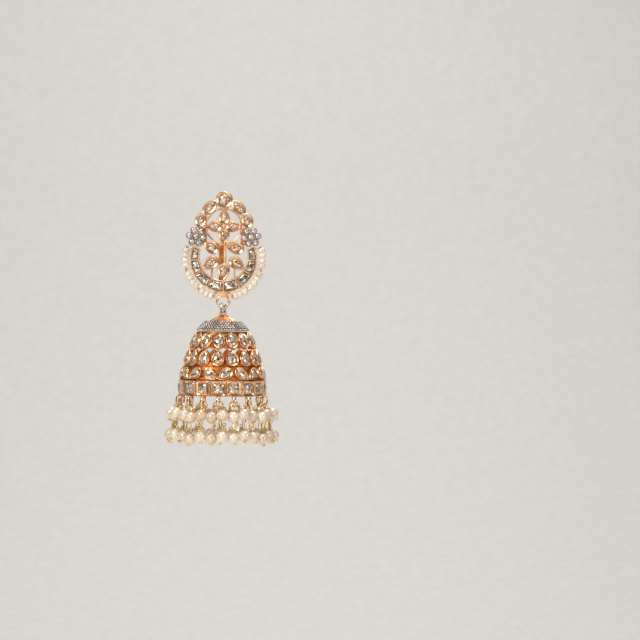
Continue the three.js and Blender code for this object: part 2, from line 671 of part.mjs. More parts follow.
for (let i = 0; i < SQUARES.count; i++) {
  const angle = SQUARES.first + (360 * i) / SQUARES.count;
  const place = onBell(angle, squareFace, (bandTop + bandLow) / 2);
  const outer = outline("square", SQUARES.high, SQUARES.wide, 4);
  const inner = 2 * BELL_SETTING.wall;
  const girdle = outline("square", SQUARES.high - inner, SQUARES.wide - inner, 4);
  band.push(
    loft([
      ringAt(place, outer, -SQUARES.deep),
      ringAt(place, outer, 0),
      ringAt(place, girdle, 0),
      ringAt(place, girdle, SQUARE_SHARES.middleUp * SQUARES.rise, SQUARE_SHARES.middle),
      ringAt(place, girdle, SQUARES.rise, SQUARE_SHARES.table),
    ]),
  );
  const loopPlace = onBell(angle, loopRadius, loopUp).multiply(ALONG);
  band.push(wireLoop(loopPlace, RIM_LOOP.wide, RIM_LOOP.high, RIM_LOOP.wire, SMALL_WIRE));

  // One wire ring hangs in each rim loop and ends in the pearls.
  const hangerPlace = onBell(angle, loopRadius, hangerTop, HANGER.lean).multiply(
    new THREE.Matrix4().makeTranslation(0, (HANGER.wire - HANGER.across) / 2, 0),
  );
  fringe.push(wireLoop(hangerPlace, HANGER.across, HANGER.across, HANGER.wire, SMALL_WIRE));
}

// Each tier is a ring of pearls that touch, one solid through the rings of their outlines.
const hangerEnd = {
  radius: loopRadius + HANGER.across * Math.sin(rad(HANGER.lean)),
  z: hangerTop - HANGER.across * Math.cos(rad(HANGER.lean)),
};
function pearlAt(tier, i) {
  const stray = STRAYS[i % STRAYS.length];
  return {
    angle: TIER.first + (360 * i) / TIER.count,
    radius: hangerEnd.radius + tier.out + STRAY * stray.out,
    z: hangerEnd.z - tier.down + STRAY * stray.up,
  };
}

function pearlRing({ angle, radius, z }, along, across) {
  const place = onBell(angle, radius, z).multiply(ALONG);
  return ringAt(place, outline("round", across, across, WALL_SIDES), along);
}

const flat = PEARL_SHARES.flat * PEARL;
for (const tier of [UPPER_TIER, LOWER_TIER]) {
  const rings = [];
  for (let i = 0; i < TIER.count; i++) {
    const pearl = pearlAt(tier, i);
    const next = pearlAt(tier, i + 1);
    rings.push(pearlRing(pearl, -flat, PEARL_SHARES.wide * PEARL));
    rings.push(pearlRing(pearl, flat, PEARL_SHARES.wide * PEARL));
    const between = {
      angle: (pearl.angle + next.angle) / 2,
      radius: (pearl.radius + next.radius) / 2,
      z: (pearl.z + next.z) / 2,
    };
    rings.push(pearlRing(between, 0, PEARL_SHARES.neck * PEARL));
  }
  fringe.push(loop(rings));
}
for (let i = 0; i < TIER.count; i += 2) {
  const [from, to] = [UPPER_TIER, LOWER_TIER].map((tier) => {
    const pearl = pearlAt(tier, i);
    return new THREE.Vector3().applyMatrix4(onBell(pearl.angle, pearl.radius, pearl.z));
  });
  fringe.push(rod(from, to, STEM_THICK, SMALL_WIRE.sides));
}
piece("square_stone_band", union(band), GOLD);
piece("pearl_fringe", union(fringe), PEARLS);

export default earring;
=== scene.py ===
import bmesh
import bpy
import numpy as np
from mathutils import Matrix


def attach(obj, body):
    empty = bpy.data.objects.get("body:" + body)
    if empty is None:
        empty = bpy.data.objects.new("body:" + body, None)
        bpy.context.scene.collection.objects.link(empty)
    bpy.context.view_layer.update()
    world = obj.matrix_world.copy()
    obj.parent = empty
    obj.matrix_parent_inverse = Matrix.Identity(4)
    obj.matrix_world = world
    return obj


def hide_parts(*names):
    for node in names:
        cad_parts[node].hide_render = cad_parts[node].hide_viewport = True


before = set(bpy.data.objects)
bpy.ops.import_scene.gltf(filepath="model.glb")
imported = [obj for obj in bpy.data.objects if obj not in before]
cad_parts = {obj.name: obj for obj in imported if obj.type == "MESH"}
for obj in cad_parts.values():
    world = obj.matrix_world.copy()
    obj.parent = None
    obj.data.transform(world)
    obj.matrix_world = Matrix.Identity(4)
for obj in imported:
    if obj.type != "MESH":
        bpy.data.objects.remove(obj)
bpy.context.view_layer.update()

# Lengths are in millimetres until a mesh is written. The front faces -Y, +Z is up, and the origin is where
# the ear post leaves the back of the stud. The main sizes follow the solid model's.
MM = 0.001
TAU = 2 * np.pi
TO_VIEWER = np.array([0.0, -1.0, 0.0])
UPWARDS = np.array([0.0, 0.0, 1.0])
HANG_OUT = 1.2  # the hanging plane, in front of the stud's back
SIDES = (("left", -1), ("right", 1))

# Settings and stones. A setting's front and back, and a stone's seat and girdle, are measured out from the
# place that they are set in. A stone's table and middle are shares of its size.
STONE_CLEAR = 0.02
LIP = 0.26
COLLAR_DROP = 0.45  # for each millimetre inwards
SQUARE_CUT = 1.34  # reach of a square's cut corners, in half sides
PEAR = {"full": 1.13, "power": 0.7}
FACETS = {"middle": 0.6, "apex": 1.08, "off": 0.2}  # shares of the rise, and of the way to a corner
# Painted reflections on a stone's facets: the girdle's tone, the slopes' lowest tone and their spread, and
# the power that spreads the crown's tones between dark and bright.
FACET_REFLECTION_TONES = {"girdle": 0.35, "slope": 0.34, "spread": 0.22, "power": 0.8}
SETTING = {"wall": 0.72, "back": 0.75, "front": 2.0, "skirt": 0.12}
STUD_STONE = {"seat": 1.3, "girdle": 1.7, "rise": 0.6, "table": 0.6}
BELL_SETTING = {"wall": 0.48, "back": -0.9, "front": 0.0, "skirt": 0.16}
BELL_STONE = {"seat": -0.65, "girdle": -0.1, "rise": 0.45}
SQUARE_SETTING = {"wall": 0.48, "back": -0.8, "front": 0.0, "n": 48}
SQUARE_STONE = {"seat": -0.6, "girdle": -0.08, "rise": 0.5, "n": 16, "table": 0.4, "middle": 0.78}

# Stud.
RING = {"up": 9.0, "radius": 5.6, "lap": 0.12}
RING_WIRES = (  # out, across, wire, finish, sides
    (1.35, 2 * RING["radius"], 0.46, "bright_gold", 10),
    (0.95, 2 * RING["radius"] - 0.5, 0.3, "gold", 8),
)
TOP_STONE = 5.0
FLANKS = (("upper", 37.4, 5.9, 3.3, 46), ("lower", 75.2, 4.8, 3.4, 15))  # angle, long, wide, lean
RING_PETAL = {"long": 4.7, "wide": 3.5, "hub": 0.62}
RING_PETALS = (("top", 0), ("left", 90), ("bottom", 180), ("right", 270))
RING_DOME = {"out": 1.9, "across": 1.3}
LOWER_PETALS = (  # across, up, turn, long, wide
    ("upper_left", -3.87, 2.85, 57, 4.9, 3.8),
    ("upper_right", 3.5, 2.5, 84, 5.1, 3.8),
    ("lower_left", -4.0, -2.15, 126, 5.2, 3.9),
    ("lower_right", 4.0, -2.15, -126, 5.2, 3.9),
    ("bottom", 0, -4.6, 180, 5.1, 3.9),
)
CRESCENT = {"outer": 10.1, "inner": 7.2, "drop": 0.87, "wall": 0.5, "rim": 0.05, "end": 112.0}
CRESCENT_FLOOR = {"thick": 0.35, "inset": 0.1}
CELL_BAR = {"wide": 0.46, "lap": 0.2}
CELL_STONE = {"seat": 1.2, "girdle": 1.88, "rise": 0.5, "middle": 0.84}
CELL_MARGIN = 1.7  # degrees between a cell's edge and its stone
CELL_EDGES = CRESCENT["end"] * np.array([0, 0.268, 0.545, 0.786, 1])
CLUSTER = {"out": 8.2, "up": 5.8, "ring": 2.07, "turn": 9, "middle_front": 2.68, "petal_front": 2.45}
CLUSTER_PAD = ((4.0, 0.5), (4.2, 0.6), (4.2, 1.0), (4.0, 1.1))  # across, out
CLUSTER_PLATE = ((3.9, 1.4), (4.1, 1.5), (4.1, 1.8), (3.9, 1.9))
CLUSTER_GRAIN = {"ring": 1.3, "out": 2.5, "across": 0.42}
CUP = {"across": 2.12, "wall": 0.19, "back": 1.42}
CUP_STONE = {"seat": 0.6, "girdle": 0.1, "rise": 0.42}  # seat, girdle: under the cup's front
STRAPS = (  # start, end, wide, back, front, finish; the wide back strap is in the ground gold, darkened with painted shade
    ((-0.4, 3.7), (-0.4, -7.4), 2.2, 0.0, 0.9, "ground"),
    ((-1.38, 3.4), (-1.38, -7.0), 0.24, 0.7, 1.02, "bright_gold"),
    ((0.3, 3.7), (0.3, -7.4), 0.8, 0.3, 1.3, "bright_gold"),
    ((-3.5, -2.9), (-3.5, -6.7), 0.5, 0.5, 1.1, "gold"),
    ((3.3, -2.9), (3.3, -6.7), 0.5, 0.5, 1.1, "gold"),
)
SIDE_BARS = (  # start, end, wide, back, front, on the right and mirrored
    ((6.0, 8.6), (6.0, 3.4), 1.8, 0.5, 1.0),
    ((0.4, 3.5), (2.6, 3.2), 0.7, 0.6, 1.3),
)
BRACKET = (  # as the straps
    ((-2.15, -11.35), (2.15, -11.35), 1.1, 0.6, 1.8, "bright_gold"),
    ((-2.15, -11.05), (2.15, -11.05), 0.3, 1.6, 1.98, "bright_gold"),
)
POST = np.array([  # radius, distance behind the stud's back
    [0, 0.3], [0.62, 0.3], [0.7, 0.38], [0.7, 0.7], [0.6, 0.8], [0.45, 0.95], [0.44, 9.6],
    [0.36, 9.75], [0.36, 9.95], [0.45, 10.1], [0.45, 10.9], [0.38, 11.0], [0, 11.0],
])
BEAD = {"wide": 2.3, "long": 1.5, "bore": 0.5, "path": 11.6, "dimple": 0.8, "spread": 0.08, "stray": 1.2}
BEAD_POWERS = (2.3, 2.1)  # of its superellipse, along the string and away from it
STRING = {"start": 13.8, "end": 108.4, "wire": 0.34}
BEAD_ANGLES = np.array([18.5, 26, 33.5, 45, 52.5, 60, 67.5, 81, 88.5, 96, 103.5])
LASH_ANGLES = (14.0, 39.25, 74.25, 108.4)
LASH = {"turns": 3, "span": 3.0, "radius": 0.36, "wire": 0.17, "peg": 0.36, "peg_ends": (0.3, 1.7)}
STIRRUP = {"wide": 4.3, "high": 4.13, "wire": 0.8, "up": -13.435}

# Link and bell.
BAIL = {"top": -13.95, "long": 3.22, "wide": 2.6, "wire": 0.6, "broad": 1.8}
BAIL_STEP = 0.45  # of its half height, up from the foot, where it broadens
BAIL_CUP = {"across": 1.15, "wall": 0.12, "rise": 0.2}
BAIL_DEPTHS = np.array([-0.15, 0.1, -0.05, 0.05])  # cup's back, front, stone's seat, girdle, from the loop
BAIL_CUP_ANGLES = (-40, 4, 48)
EYE = {"up": -16.87, "across": 1.95, "wire": 0.5}
CAP_RADII = 5.6 * np.array([1, 0.804, 0.625, 0.411, 0.223, 0.143])
CAP_HEIGHTS = -20.755 + 3.03 * np.array([0, 0.3135, 0.5446, 0.769, 0.914, 1])
CAP_WALL = 0.55
CAP_NECK = np.array([  # radius, height
    [1.5, -18.07], [1.08, -17.84], [0.88, -17.62], [0.8, -17.5], [0.5, -17.45], [0, -17.44],
])
EYE_SHOULDER = np.array([[0.8, -16.95], [0.84, -17.3], [0.98, -17.62], [1.3, -17.88], [1.8, -18.12]])
SHOULDER_WIRE = 0.5
CAP_LIP = {"in": 0.5, "down": 0.25}
CAP_RIBS = {"count": 30, "wire": 0.14, "proud": 0.02}
CAP_RIB_SHARES = (0.3, 0.84)  # of the cap's radius, where a rib starts and ends
CAP_GRAINS = {"count": 60, "radius": 4.45, "up": -19.76, "across": 0.34}
PAVE_RADII = 7.95 * np.array([1, 0.906, 0.792, 0.654])
PAVE_HEIGHTS = -22.205 + 2.8 * np.array([0, 0.357, 0.679, 1])
PAVE_WALL = 0.4
PAVE_DROP = 0.1
PAVE_SUNK = 0.2  # the cone's face under the solid model's
PAVE_SHARES = (0.09, 0.3, 0.51, 0.72, 0.92)  # each ring of stones, from the foot up
PAVE_PITCH = 0.86
PAVE_ACROSS = 0.74
PAVE_STONE = {"wall": 0.0, "seat": -0.15, "girdle": 0.02, "rise": 0.24, "table": 0.5}
PAVE_STONE_SUNK = 0.12
PAVE_GRAIN = {"along": 0.43, "up": 0.4, "out": 0.04, "across": 0.24}
ROWS = {  # count, first angle, shape, long, wide, top (radius, height), bottom (radius, height), lift
    "marquise": (14, -4.7, "marquise", 5.35, 3.9, (7.95, -22.505), (10.25, -27.505), 0.0),
    "pear": (16, -5.0, "pear", 5.05, 4.2, (10.3, -27.805), (11.95, -32.555), 0.0),
    "pair": (16, 7.1, "pear", 5.0, 3.65, (12.0, -32.855), (12.85, -36.605), -0.34),
}
ROW_STRAY = 2.5  # degrees
ROW_GROUND = (0.95, 0.5)  # a strip's inner and outer depth under the row's face; the strips are gold darkened with painted shade
ROW_STRIPS = {"marquise": ((0, 0.2),), "pear": ((0.79, 1),), "pair": ((0, 0.27), (0.86, 1))}
PAIR = {"turn": 126, "shift": 1.2}
PAIR_LEAF = {"radius": 12.62, "up": -36.2, "tilt": 12.8}
PAIR_LEAF_CORNERS = np.array([[-0.75, -0.3], [0.75, -0.3], [0.0, 0.8]])
PAIR_LEAF_STEPS = ((1, -0.4), (1, 0), (0.5, 0.16))  # share, out
BAND = {"top": -36.905, "low": -41.605, "radius": 13.1, "bore": 12.0, "face": 12.95, "wall": 12.5}
BAND_EDGE = {"bevel": 0.1, "crest": 0.16, "foot": 0.32, "end": 0.36}
SQUARES = {"count": 17, "first": -2.9, "across": 4.2}
SQUARE_RIBS = {"off": 0.8, "sunk": 0.08, "inset": 0.2, "wire": 0.3}
RIM_LOOP = {"radius": 13.0, "up": -43.16, "wide": 2.0, "high": 3.35, "wire": 0.48, "broad": 0.96}
HANGER = {"up": -43.985, "across": 3.5, "wire": 0.34, "lean": 21}

# Pearls and their pins.
PEARL = 3.5
TIERS = ((14.604, -47.35), (14.954, -53.65))  # radius, height
TIER = {"count": 28, "first": 3}
STRAYS = 0.6 * np.array([  # out, up
    [0.9, 0.5], [-0.3, -0.4], [0.6, 0.9], [-0.8, 0.1], [0.5, -0.9], [-0.1, 0.3], [-0.7, -0.6],
])
PEARL_SPREAD = 0.05
HEADPIN = {"wire": 0.26, "ball": 0.95, "proud": 0.15, "sunk": 0.3, "reach": 0.5, "stray": 0.9, "lift": 0.2}
PIN_RING = {"across": 1.15, "wire": 0.24, "reach": 0.75}
TIER_RING = {"radius": 14.7, "up": -50.5, "tilt": 10, "wide": 1.9, "high": 3.0, "wire": 0.3}
TIER_RING_STRAY = {"angle": 3, "twist": 25}  # degrees
TIER_WIRE = 0.3

rng = np.random.default_rng(7)


def circle(n):
    """n angles evenly round a full turn."""
    return TAU * np.arange(n) / n


# Places: 4x4 matrices.


def rotation(axis, degrees):
    """Turn about x, y or z."""
    a = np.radians(degrees)
    m = np.eye(4)
    p, q = {"x": (1, 2), "y": (2, 0), "z": (0, 1)}[axis]
    m[p, p] = m[q, q] = np.cos(a)
    m[q, p] = np.sin(a)
    m[p, q] = -np.sin(a)
    return m


def shift(x=0.0, y=0.0, z=0.0):
    """Move."""
    m = np.eye(4)
    m[:3, 3] = x, y, z
    return m


def on_face(across=0.0, up=0.0, turn=0.0, out=0.0):
    """Place on the stud's face: across, up, out towards the viewer, turned anticlockwise."""
    return rotation("x", 90) @ shift(across, up, out) @ rotation("z", turn)


def on_bell(angle, radius, height, tilt=0.0):
    """Place on the bell: degrees from the front towards the right, radius, height, tilt of its face up."""
    a = np.radians(angle)
    t = np.radians(tilt)
    out = np.array([np.sin(a), -np.cos(a), 0.0])
    m = np.eye(4)
    m[:3, 0] = np.cos(a), np.sin(a), 0
    m[:3, 1] = UPWARDS * np.cos(t) - out * np.sin(t)
    m[:3, 2] = out * np.cos(t) + UPWARDS * np.sin(t)
    m[:3, 3] = out * radius + TO_VIEWER * HANG_OUT + UPWARDS * height
    return m


def put(points, place):
    """Points of any grid, carried by a place."""
    return points @ place[:3, :3].T + place[:3, 3]


# Patches: points, faces, finish, smooth or not, and a tone for each face.


def patch(points, faces, finish, smooth=True, tone=0.5):
    """One patch of a piece."""
    return points.reshape(-1, 3), faces, finish, smooth, np.broadcast_to(tone, (len(faces),))


def skin(rows, columns, close_rows=False, close_columns=True):
    """Quads over a grid of rows by columns of points."""
    r = np.arange(rows if close_rows else rows - 1)[:, None]
    c = np.arange(columns if close_columns else columns - 1)[None, :]
    r2 = (r + 1) % rows
    c2 = (c + 1) % columns
    corners = np.broadcast_arrays(r * columns + c, r * columns + c2, r2 * columns + c2, r2 * columns + c)
    return np.stack(corners, -1).reshape(-1, 4)


def fan(ring, finish, tone=0.5):
    """Triangles from the middle of a ring of points."""
    n = len(ring)
    i = np.arange(n)
    faces = np.stack([np.full(n, n), i, (i + 1) % n], 1)
    return patch(np.vstack([ring, ring.mean(0)]), faces, finish, tone=tone)


def lofted(rings, finish, tone=0.5):
    """Closed solid through rings of points, with a fan at each end."""
    side = patch(rings, skin(*rings.shape[:2]), finish, tone=tone)
    return [side, fan(rings[0], finish, tone), fan(rings[-1], finish, tone)]


def outline(shape, long, wide, n, step=0.0):
    """Outline of a stone, anticlockwise from its upper tip. Round: an ellipse. Pear: an ellipse whose width
    is drawn in towards the tip by a power of sin(t/2). Marquise: two circular arcs that meet in points.
    Square: a ray's reach to straight sides, cut off at the corners."""
    i = np.arange(n) + step
    t = TAU * i / n
    reach = 1.0
    if shape == "marquise":
        a = long / 2
        b = wide / 2
        arc = (a * a + b * b) / (2 * b)
        half = np.arcsin(min(a / arc, 1.0))
        left = i <= n / 2
        share = np.where(left, 1 - 4 * i / n, 4 * i / n - 3)
        bow = np.maximum(arc * np.cos(half * share) - arc + b, 0)
        return np.stack([np.where(left, -bow, bow), arc * np.sin(half * share)], 1)
    if shape == "square":
        t = t + np.pi / 4
        reach = np.minimum(1 / np.maximum(np.abs(np.sin(t)), np.abs(np.cos(t))), SQUARE_CUT)
    elif shape == "pear":
        wide = wide * PEAR["full"] * np.abs(np.sin(t / 2)) ** PEAR["power"]
    return np.stack([-0.5 * wide * reach * np.sin(t), 0.5 * long * reach * np.cos(t)], 1)


def section_sweep(path, section, finish, normal):
    """A section carried along an open path, its second axis along normal and its first square to both."""
    ahead = np.roll(path, -1, 0) - np.roll(path, 1, 0)
    ahead[0] = path[1] - path[0]
    ahead[-1] = path[-1] - path[-2]
    side = np.cross(np.broadcast_to(normal, path.shape), ahead)
    side /= np.linalg.norm(side, axis=1, keepdims=True)
    rings = path[:, None] + side[:, None] * section[None, :, :1] + normal * section[None, :, 1:]
    return lofted(rings, finish)


def bar_section(wide, low, high, soft=0.12):
    """Rectangle from low to high with cut corners."""
    w = wide / 2
    s = min(soft, wide / 3, (high - low) / 3)
    right = [(w, low + s), (w, high - s), (w - s, high)]
    left = [(s - w, high), (-w, high - s), (-w, low + s), (s - w, low)]
    return np.array([*right, *left, (w - s, low)])


def wire(path, thick, finish, n=8):
    """Round wire along a path. Its section is a circle square to the path, laid out from a fixed direction
    that the path runs least along."""
    path = np.asarray(path, dtype=float)
    ahead = np.gradient(path, axis=0)
    ahead /= np.linalg.norm(ahead, axis=1, keepdims=True)
    guide = np.eye(3)[np.argmin(np.abs(ahead).max(0))]
    side = np.cross(ahead, guide)
    side /= np.linalg.norm(side, axis=1, keepdims=True)
    t = circle(n)[None, :, None]
    other = np.cross(ahead, side)
    rings = path[:, None] + thick / 2 * (side[:, None] * np.cos(t) + other[:, None] * np.sin(t))
    return lofted(rings, finish)


def disc(steps, place, finish):
    """Round plate: circles stacked outwards, each with its own diameter and depth."""
    rings = []
    for across, out in steps:
        rings.append(np.column_stack([outline("round", across, across, 40), np.full(40, out)]))
    return lofted(put(np.array(rings), place), finish)


def oval_wire(place, wide, high, thick, finish, n=32, sides=8, broad=None):
    """Wire bent into an ellipse. Each section is an ellipse too: thick along the line's normal, and as broad
    as wanted along the oval's own axis."""
    t = circle(n)
    a = (wide - thick) / 2
    b = (high - thick) / 2
    line = np.stack([a * np.cos(t), b * np.sin(t), 0 * t], 1)
    normal = np.stack([b * np.cos(t), a * np.sin(t), 0 * t], 1)
    normal /= np.linalg.norm(normal, axis=1, keepdims=True)
    s = circle(sides)[None, :, None]
    reach = np.broadcast_to(thick if broad is None else broad, n)[:, None, None] / 2
    rings = line[:, None] + thick / 2 * normal[:, None] * np.sin(s) + reach * UPWARDS * np.cos(s)
    return [patch(put(rings, place), skin(n, sides, close_rows=True), finish)]


def about_bell(angles, radii, heights):
    """Points about the bell's axis, by angle from the front, radius and height."""
    across = radii * np.sin(angles)
    return np.stack(np.broadcast_arrays(across, -radii * np.cos(angles) - HANG_OUT, heights), -1)


def turned(radii, heights, finish, closed=True):
    """Solid of revolution about the bell's axis, from the radii and heights of a line."""
    grid = about_bell(circle(96)[:, None], np.array(radii), heights)
    return [patch(grid, skin(96, len(radii), close_rows=True, close_columns=closed), finish)]


def balls(centres, across, finish, rows=6, columns=10):
    """Spheres: grids of latitude by longitude with a fan at each pole."""
    centres = np.asarray(centres, dtype=float).reshape(-1, 3)
    count = len(centres)
    lat = np.pi * (np.arange(1, rows) / rows - 0.5)[:, None]
    lon = circle(columns)[None]
    axes = (np.cos(lat) * np.cos(lon), np.cos(lat) * np.sin(lon), np.sin(lat))
    ring = np.stack(np.broadcast_arrays(*axes), -1)
    unit = np.vstack([ring.reshape(-1, 3), -UPWARDS, UPWARDS])
    i = np.arange(columns)
    j = (i + 1) % columns
    top = (rows - 2) * columns
    south = np.stack([np.full(columns, len(unit) - 2), j, i], 1)
    north = np.stack([np.full(columns, len(unit) - 1), top + i, top + j], 1)
    points = centres[:, None] + unit * np.broadcast_to(across, count)[:, None, None] / 2
    start = (np.arange(count) * len(unit))[:, None, None]
    tone = rng.random(count)
    made = []
    for faces in (skin(rows - 1, columns), np.vstack([south, north])):
        every = (faces[None] + start).reshape(-1, faces.shape[1])
        made.append(patch(points, every, finish, tone=np.repeat(tone, len(faces))))
    return made


def collet(place, shape, long, wide, wall, back, front, metals=("gold", "bright_gold"), skirt=0.0, n=40):
    """Setting: the outline of its stone goes up a wall that spreads by skirt towards the back, over a rounded
    lip, down a collar as far as the wall reaches and on to the seat. Metals: the wall's and the lip's; by
    default the lip is the bright gold, a painted highlight on the rim."""
    walls, lip = metals
    lip_in = min(LIP, wall - 0.04)
    low = front - COLLAR_DROP * (wall - lip_in)
    line = [
        (-skirt, back),
        (-0.35 * skirt, back + 0.6 * (front - back)),
        (0, front - 0.12),
        (0.04, front - 0.02),
        (0.5 * lip_in, front + 0.04),
        (0.9 * lip_in, front - 0.01),
        (lip_in, front - 0.08),
        (wall, low - 0.08),
        (wall + STONE_CLEAR, front - 0.5),
    ]
    rings = []
    for inset, depth in line:
        edge = outline(shape, long - 2 * inset, wide - 2 * inset, n)
        rings.append(put(np.column_stack([edge, np.full(n, depth)]), place))
    rings = np.array(rings)
    sides = [patch(rings[:3], skin(3, n), walls), patch(rings[2:], skin(7, n), lip)]
    return [*sides, fan(rings[0], walls), fan(rings[-1], walls)]


def cut_stone(place, edge_at, finish, seat, girdle, rise, table=0.55, middle=0.82):
    """Foil-backed stone: an upright girdle, a zigzag of facets up to a ring half a step on, another up to the
    table's edge, and table facets that meet off the middle. Each facet has a tone of its own, a painted
    reflection of light or dark that the stone's finish turns into colour."""
    edge = edge_at(0.0)
    n = len(edge)
    centre = edge.mean(0)
    steps = (
        (edge, 1, seat),
        (edge, 1, girdle),
        (edge_at(0.5), middle, girdle + FACETS["middle"] * rise),
        (edge, table, girdle + rise),
    )
    rings = []
    for ring, share, out in steps:
        rings.append(np.column_stack([centre + (ring - centre) * share, np.full(n, out)]))
    apex = centre + FACETS["off"] * (edge[rng.integers(n)] - centre)
    points = put(np.vstack([*rings, [*apex, girdle + FACETS["apex"] * rise]]), place)
    i = np.arange(n)
    j = (i + 1) % n
    girdle_i, middle_i, table_i = n + i, 2 * n + i, 3 * n + i
    girdle_j, middle_j, table_j = n + j, 2 * n + j, 3 * n + j
    slope = [(girdle_i, girdle_j, middle_i), (girdle_j, middle_j, middle_i)]
    slope = np.vstack([np.stack(corners, 1) for corners in slope])
    top = np.full(n, 4 * n)
    crown = [(middle_i, middle_j, table_j), (middle_i, table_j, table_i), (top, table_i, table_j)]
    crown = np.vstack([np.stack(corners, 1) for corners in crown])
    # Painted reflections: tan on the slopes, anywhere from dark to a glint on the crown.
    slope_reflection = FACET_REFLECTION_TONES["slope"] + FACET_REFLECTION_TONES["spread"] * rng.random(len(slope))
    crown_reflection = rng.random(len(crown)) ** FACET_REFLECTION_TONES["power"]
    return [
        patch(points, np.stack([i, j, girdle_j, girdle_i], 1), finish, False, FACET_REFLECTION_TONES["girdle"]),
        patch(points, slope, finish, False, slope_reflection),
        patch(points, crown, finish, False, crown_reflection),
    ]


def stone_in(place, shape, long, wide, wall, finish, seat, girdle, rise, n=14, **shares):
    """Cut stone whose girdle fills a setting of that size."""
    slack = 2 * (wall + STONE_CLEAR)

    def edge_at(step):
        return outline(shape, long - slack, wide - slack, n, step)

    return cut_stone(place, edge_at, finish, seat, girdle, rise, **shares)


def make(name, patches, body, *nodes):
    """Writes patches as one mesh, joined where they meet, with its faces outwards. It rides on its body and
    stands for the named solids."""
    grids, faces, finish_of, smooth, tones = zip(*patches)
    points = np.vstack(grids) * MM
    starts = np.cumsum([0] + [len(grid) for grid in grids])
    corners = np.concatenate([(part + start).ravel() for part, start in zip(faces, starts)])
    counts = [len(part) for part in faces]
    sizes = np.repeat([part.shape[1] for part in faces], counts)
    finishes = list(dict.fromkeys(finish_of))
    slots = np.repeat([finishes.index(finish) for finish in finish_of], counts)
    mesh = bpy.data.meshes.new(name)
    mesh.vertices.add(len(points))
    mesh.vertices.foreach_set("co", points.ravel())
    mesh.loops.add(len(corners))
    mesh.loops.foreach_set("vertex_index", corners.astype(np.int32))
    mesh.polygons.add(len(sizes))
    mesh.polygons.foreach_set("loop_start", (np.cumsum(sizes) - sizes).astype(np.int32))
    mesh.polygons.foreach_set("material_index", slots.astype(np.int32))
    mesh.polygons.foreach_set("use_smooth", np.repeat(smooth, counts))
    tone = mesh.attributes.new("tone", "FLOAT", "FACE")
    tone.data.foreach_set("value", np.concatenate(tones).astype(np.float32))
    mesh.update(calc_edges=True)
    for finish in finishes:
        mesh.materials.append(FINISHES[finish])
    work = bmesh.new()
    work.from_mesh(mesh)
    bmesh.ops.remove_doubles(work, verts=work.verts, dist=2e-7)
    bmesh.ops.recalc_face_normals(work, faces=work.faces)
    work.to_mesh(mesh)
    work.free()
    mesh.set_sharp_from_angle(angle=np.radians(38))
    obj = bpy.data.objects.new(name, mesh)
    bpy.context.scene.collection.objects.link(obj)
    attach(obj, body)
    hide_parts(*nodes)


# Finishes.


class Value:
    """A shader socket that takes part in sums: each operator adds its Math node."""

    def __init__(self, finish, socket):
        self.finish = finish
        self.socket = socket

    def _math(self, operation, *values):
        return self.finish.add("ShaderNodeMath", {"operation": operation}, dict(enumerate(values)))

    def __add__(self, other):
        return self._math("ADD", self, other)

    def __sub__(self, other):
        return self._math("SUBTRACT", self, other)

    def __rsub__(self, other):
        return self._math("SUBTRACT", other, self)

    def __mul__(self, other):
        return self._math("MULTIPLY", self, other)

    __radd__ = __add__
    __rmul__ = __mul__


class Finish:
    """One procedural material on Object coordinates."""

    def __init__(self, name):
        self.material = bpy.data.materials.new(name)
        self.material.use_nodes = True
        self.tree = self.material.node_tree
        self.shader = self.tree.nodes["Principled BSDF"]
        self.place = self.add("ShaderNodeTexCoord", output="Object")

    def add(self, kind, settings=None, sockets=None, output=0):
        """Adds a node: its settings first, then its sockets by name or number."""
        node = self.tree.nodes.new(kind)
        for key, value in (settings or {}).items():
            setattr(node, key, value)
        for key, value in (sockets or {}).items():
            self.join(node.inputs[key], value)
        return Value(self, node.outputs[output])

    def join(self, socket, value):
        """Links a value to a socket, or sets a plain number or colour on it."""
        if isinstance(value, Value):
            self.tree.links.new(value.socket, socket)
        else:
            socket.default_value = value

    def noise(self, size, detail=3.0):
        """Noise whose bumps are about that many millimetres across."""
        sockets = {"Vector": self.place, "Scale": 1 / (size * MM), "Detail": detail}
        return self.add("ShaderNodeTexNoise", sockets=sockets)

    def patches(self, size):
        """A flat random value in each cell, cells being about that many millimetres across."""
        sockets = {"Vector": self.place, "Scale": 1 / (size * MM)}
        cells = self.add("ShaderNodeTexVoronoi", sockets=sockets, output="Color")
        return self.add("ShaderNodeSeparateColor", sockets={"Color": cells})

    def tone(self):
        """The tone written on each face."""
        return self.add("ShaderNodeAttribute", {"attribute_name": "tone"}, output="Fac")

    def ramp(self, factor, stops):
        """Colours along a factor."""
        value = self.add("ShaderNodeValToRGB", sockets={"Fac": factor})
        elements = value.socket.node.color_ramp.elements
        for _ in stops[2:]:
            elements.new(0.5)
        for element, (at, colour) in zip(elements, stops):
            element.position = at
            element.color = (*colour, 1)
        return value

    def bump(self, height, strength, distance):
        """Bump whose full height is that many millimetres."""
        sockets = {"Height": height, "Strength": strength, "Distance": distance * MM}
        self.join(self.shader.inputs["Normal"], self.add("ShaderNodeBump", sockets=sockets))

    def set(self, **sockets):
        """Sets or links the shader's own sockets."""
        for key, value in sockets.items():
            self.join(self.shader.inputs[key.replace("_", " ")], value)


def metal(name, deep, middle, bright, rough):
    """Cast and polished metal: its colour drifts, and its shine breaks up over a fine grain."""
    f = Finish(name)
    drift = f.noise(1.6, 4.0)
    fine = f.noise(0.3, 2.0)
    f.set(Base_Color=f.ramp(drift * 0.7 + fine * 0.3, [(0.34, deep), (0.5, middle), (0.66, bright)]))
    f.set(Metallic=1.0, Roughness=fine * 0.24 + (rough - 0.12))
    f.bump(fine + drift * 0.5, 0.3, 0.05)
    return f.material


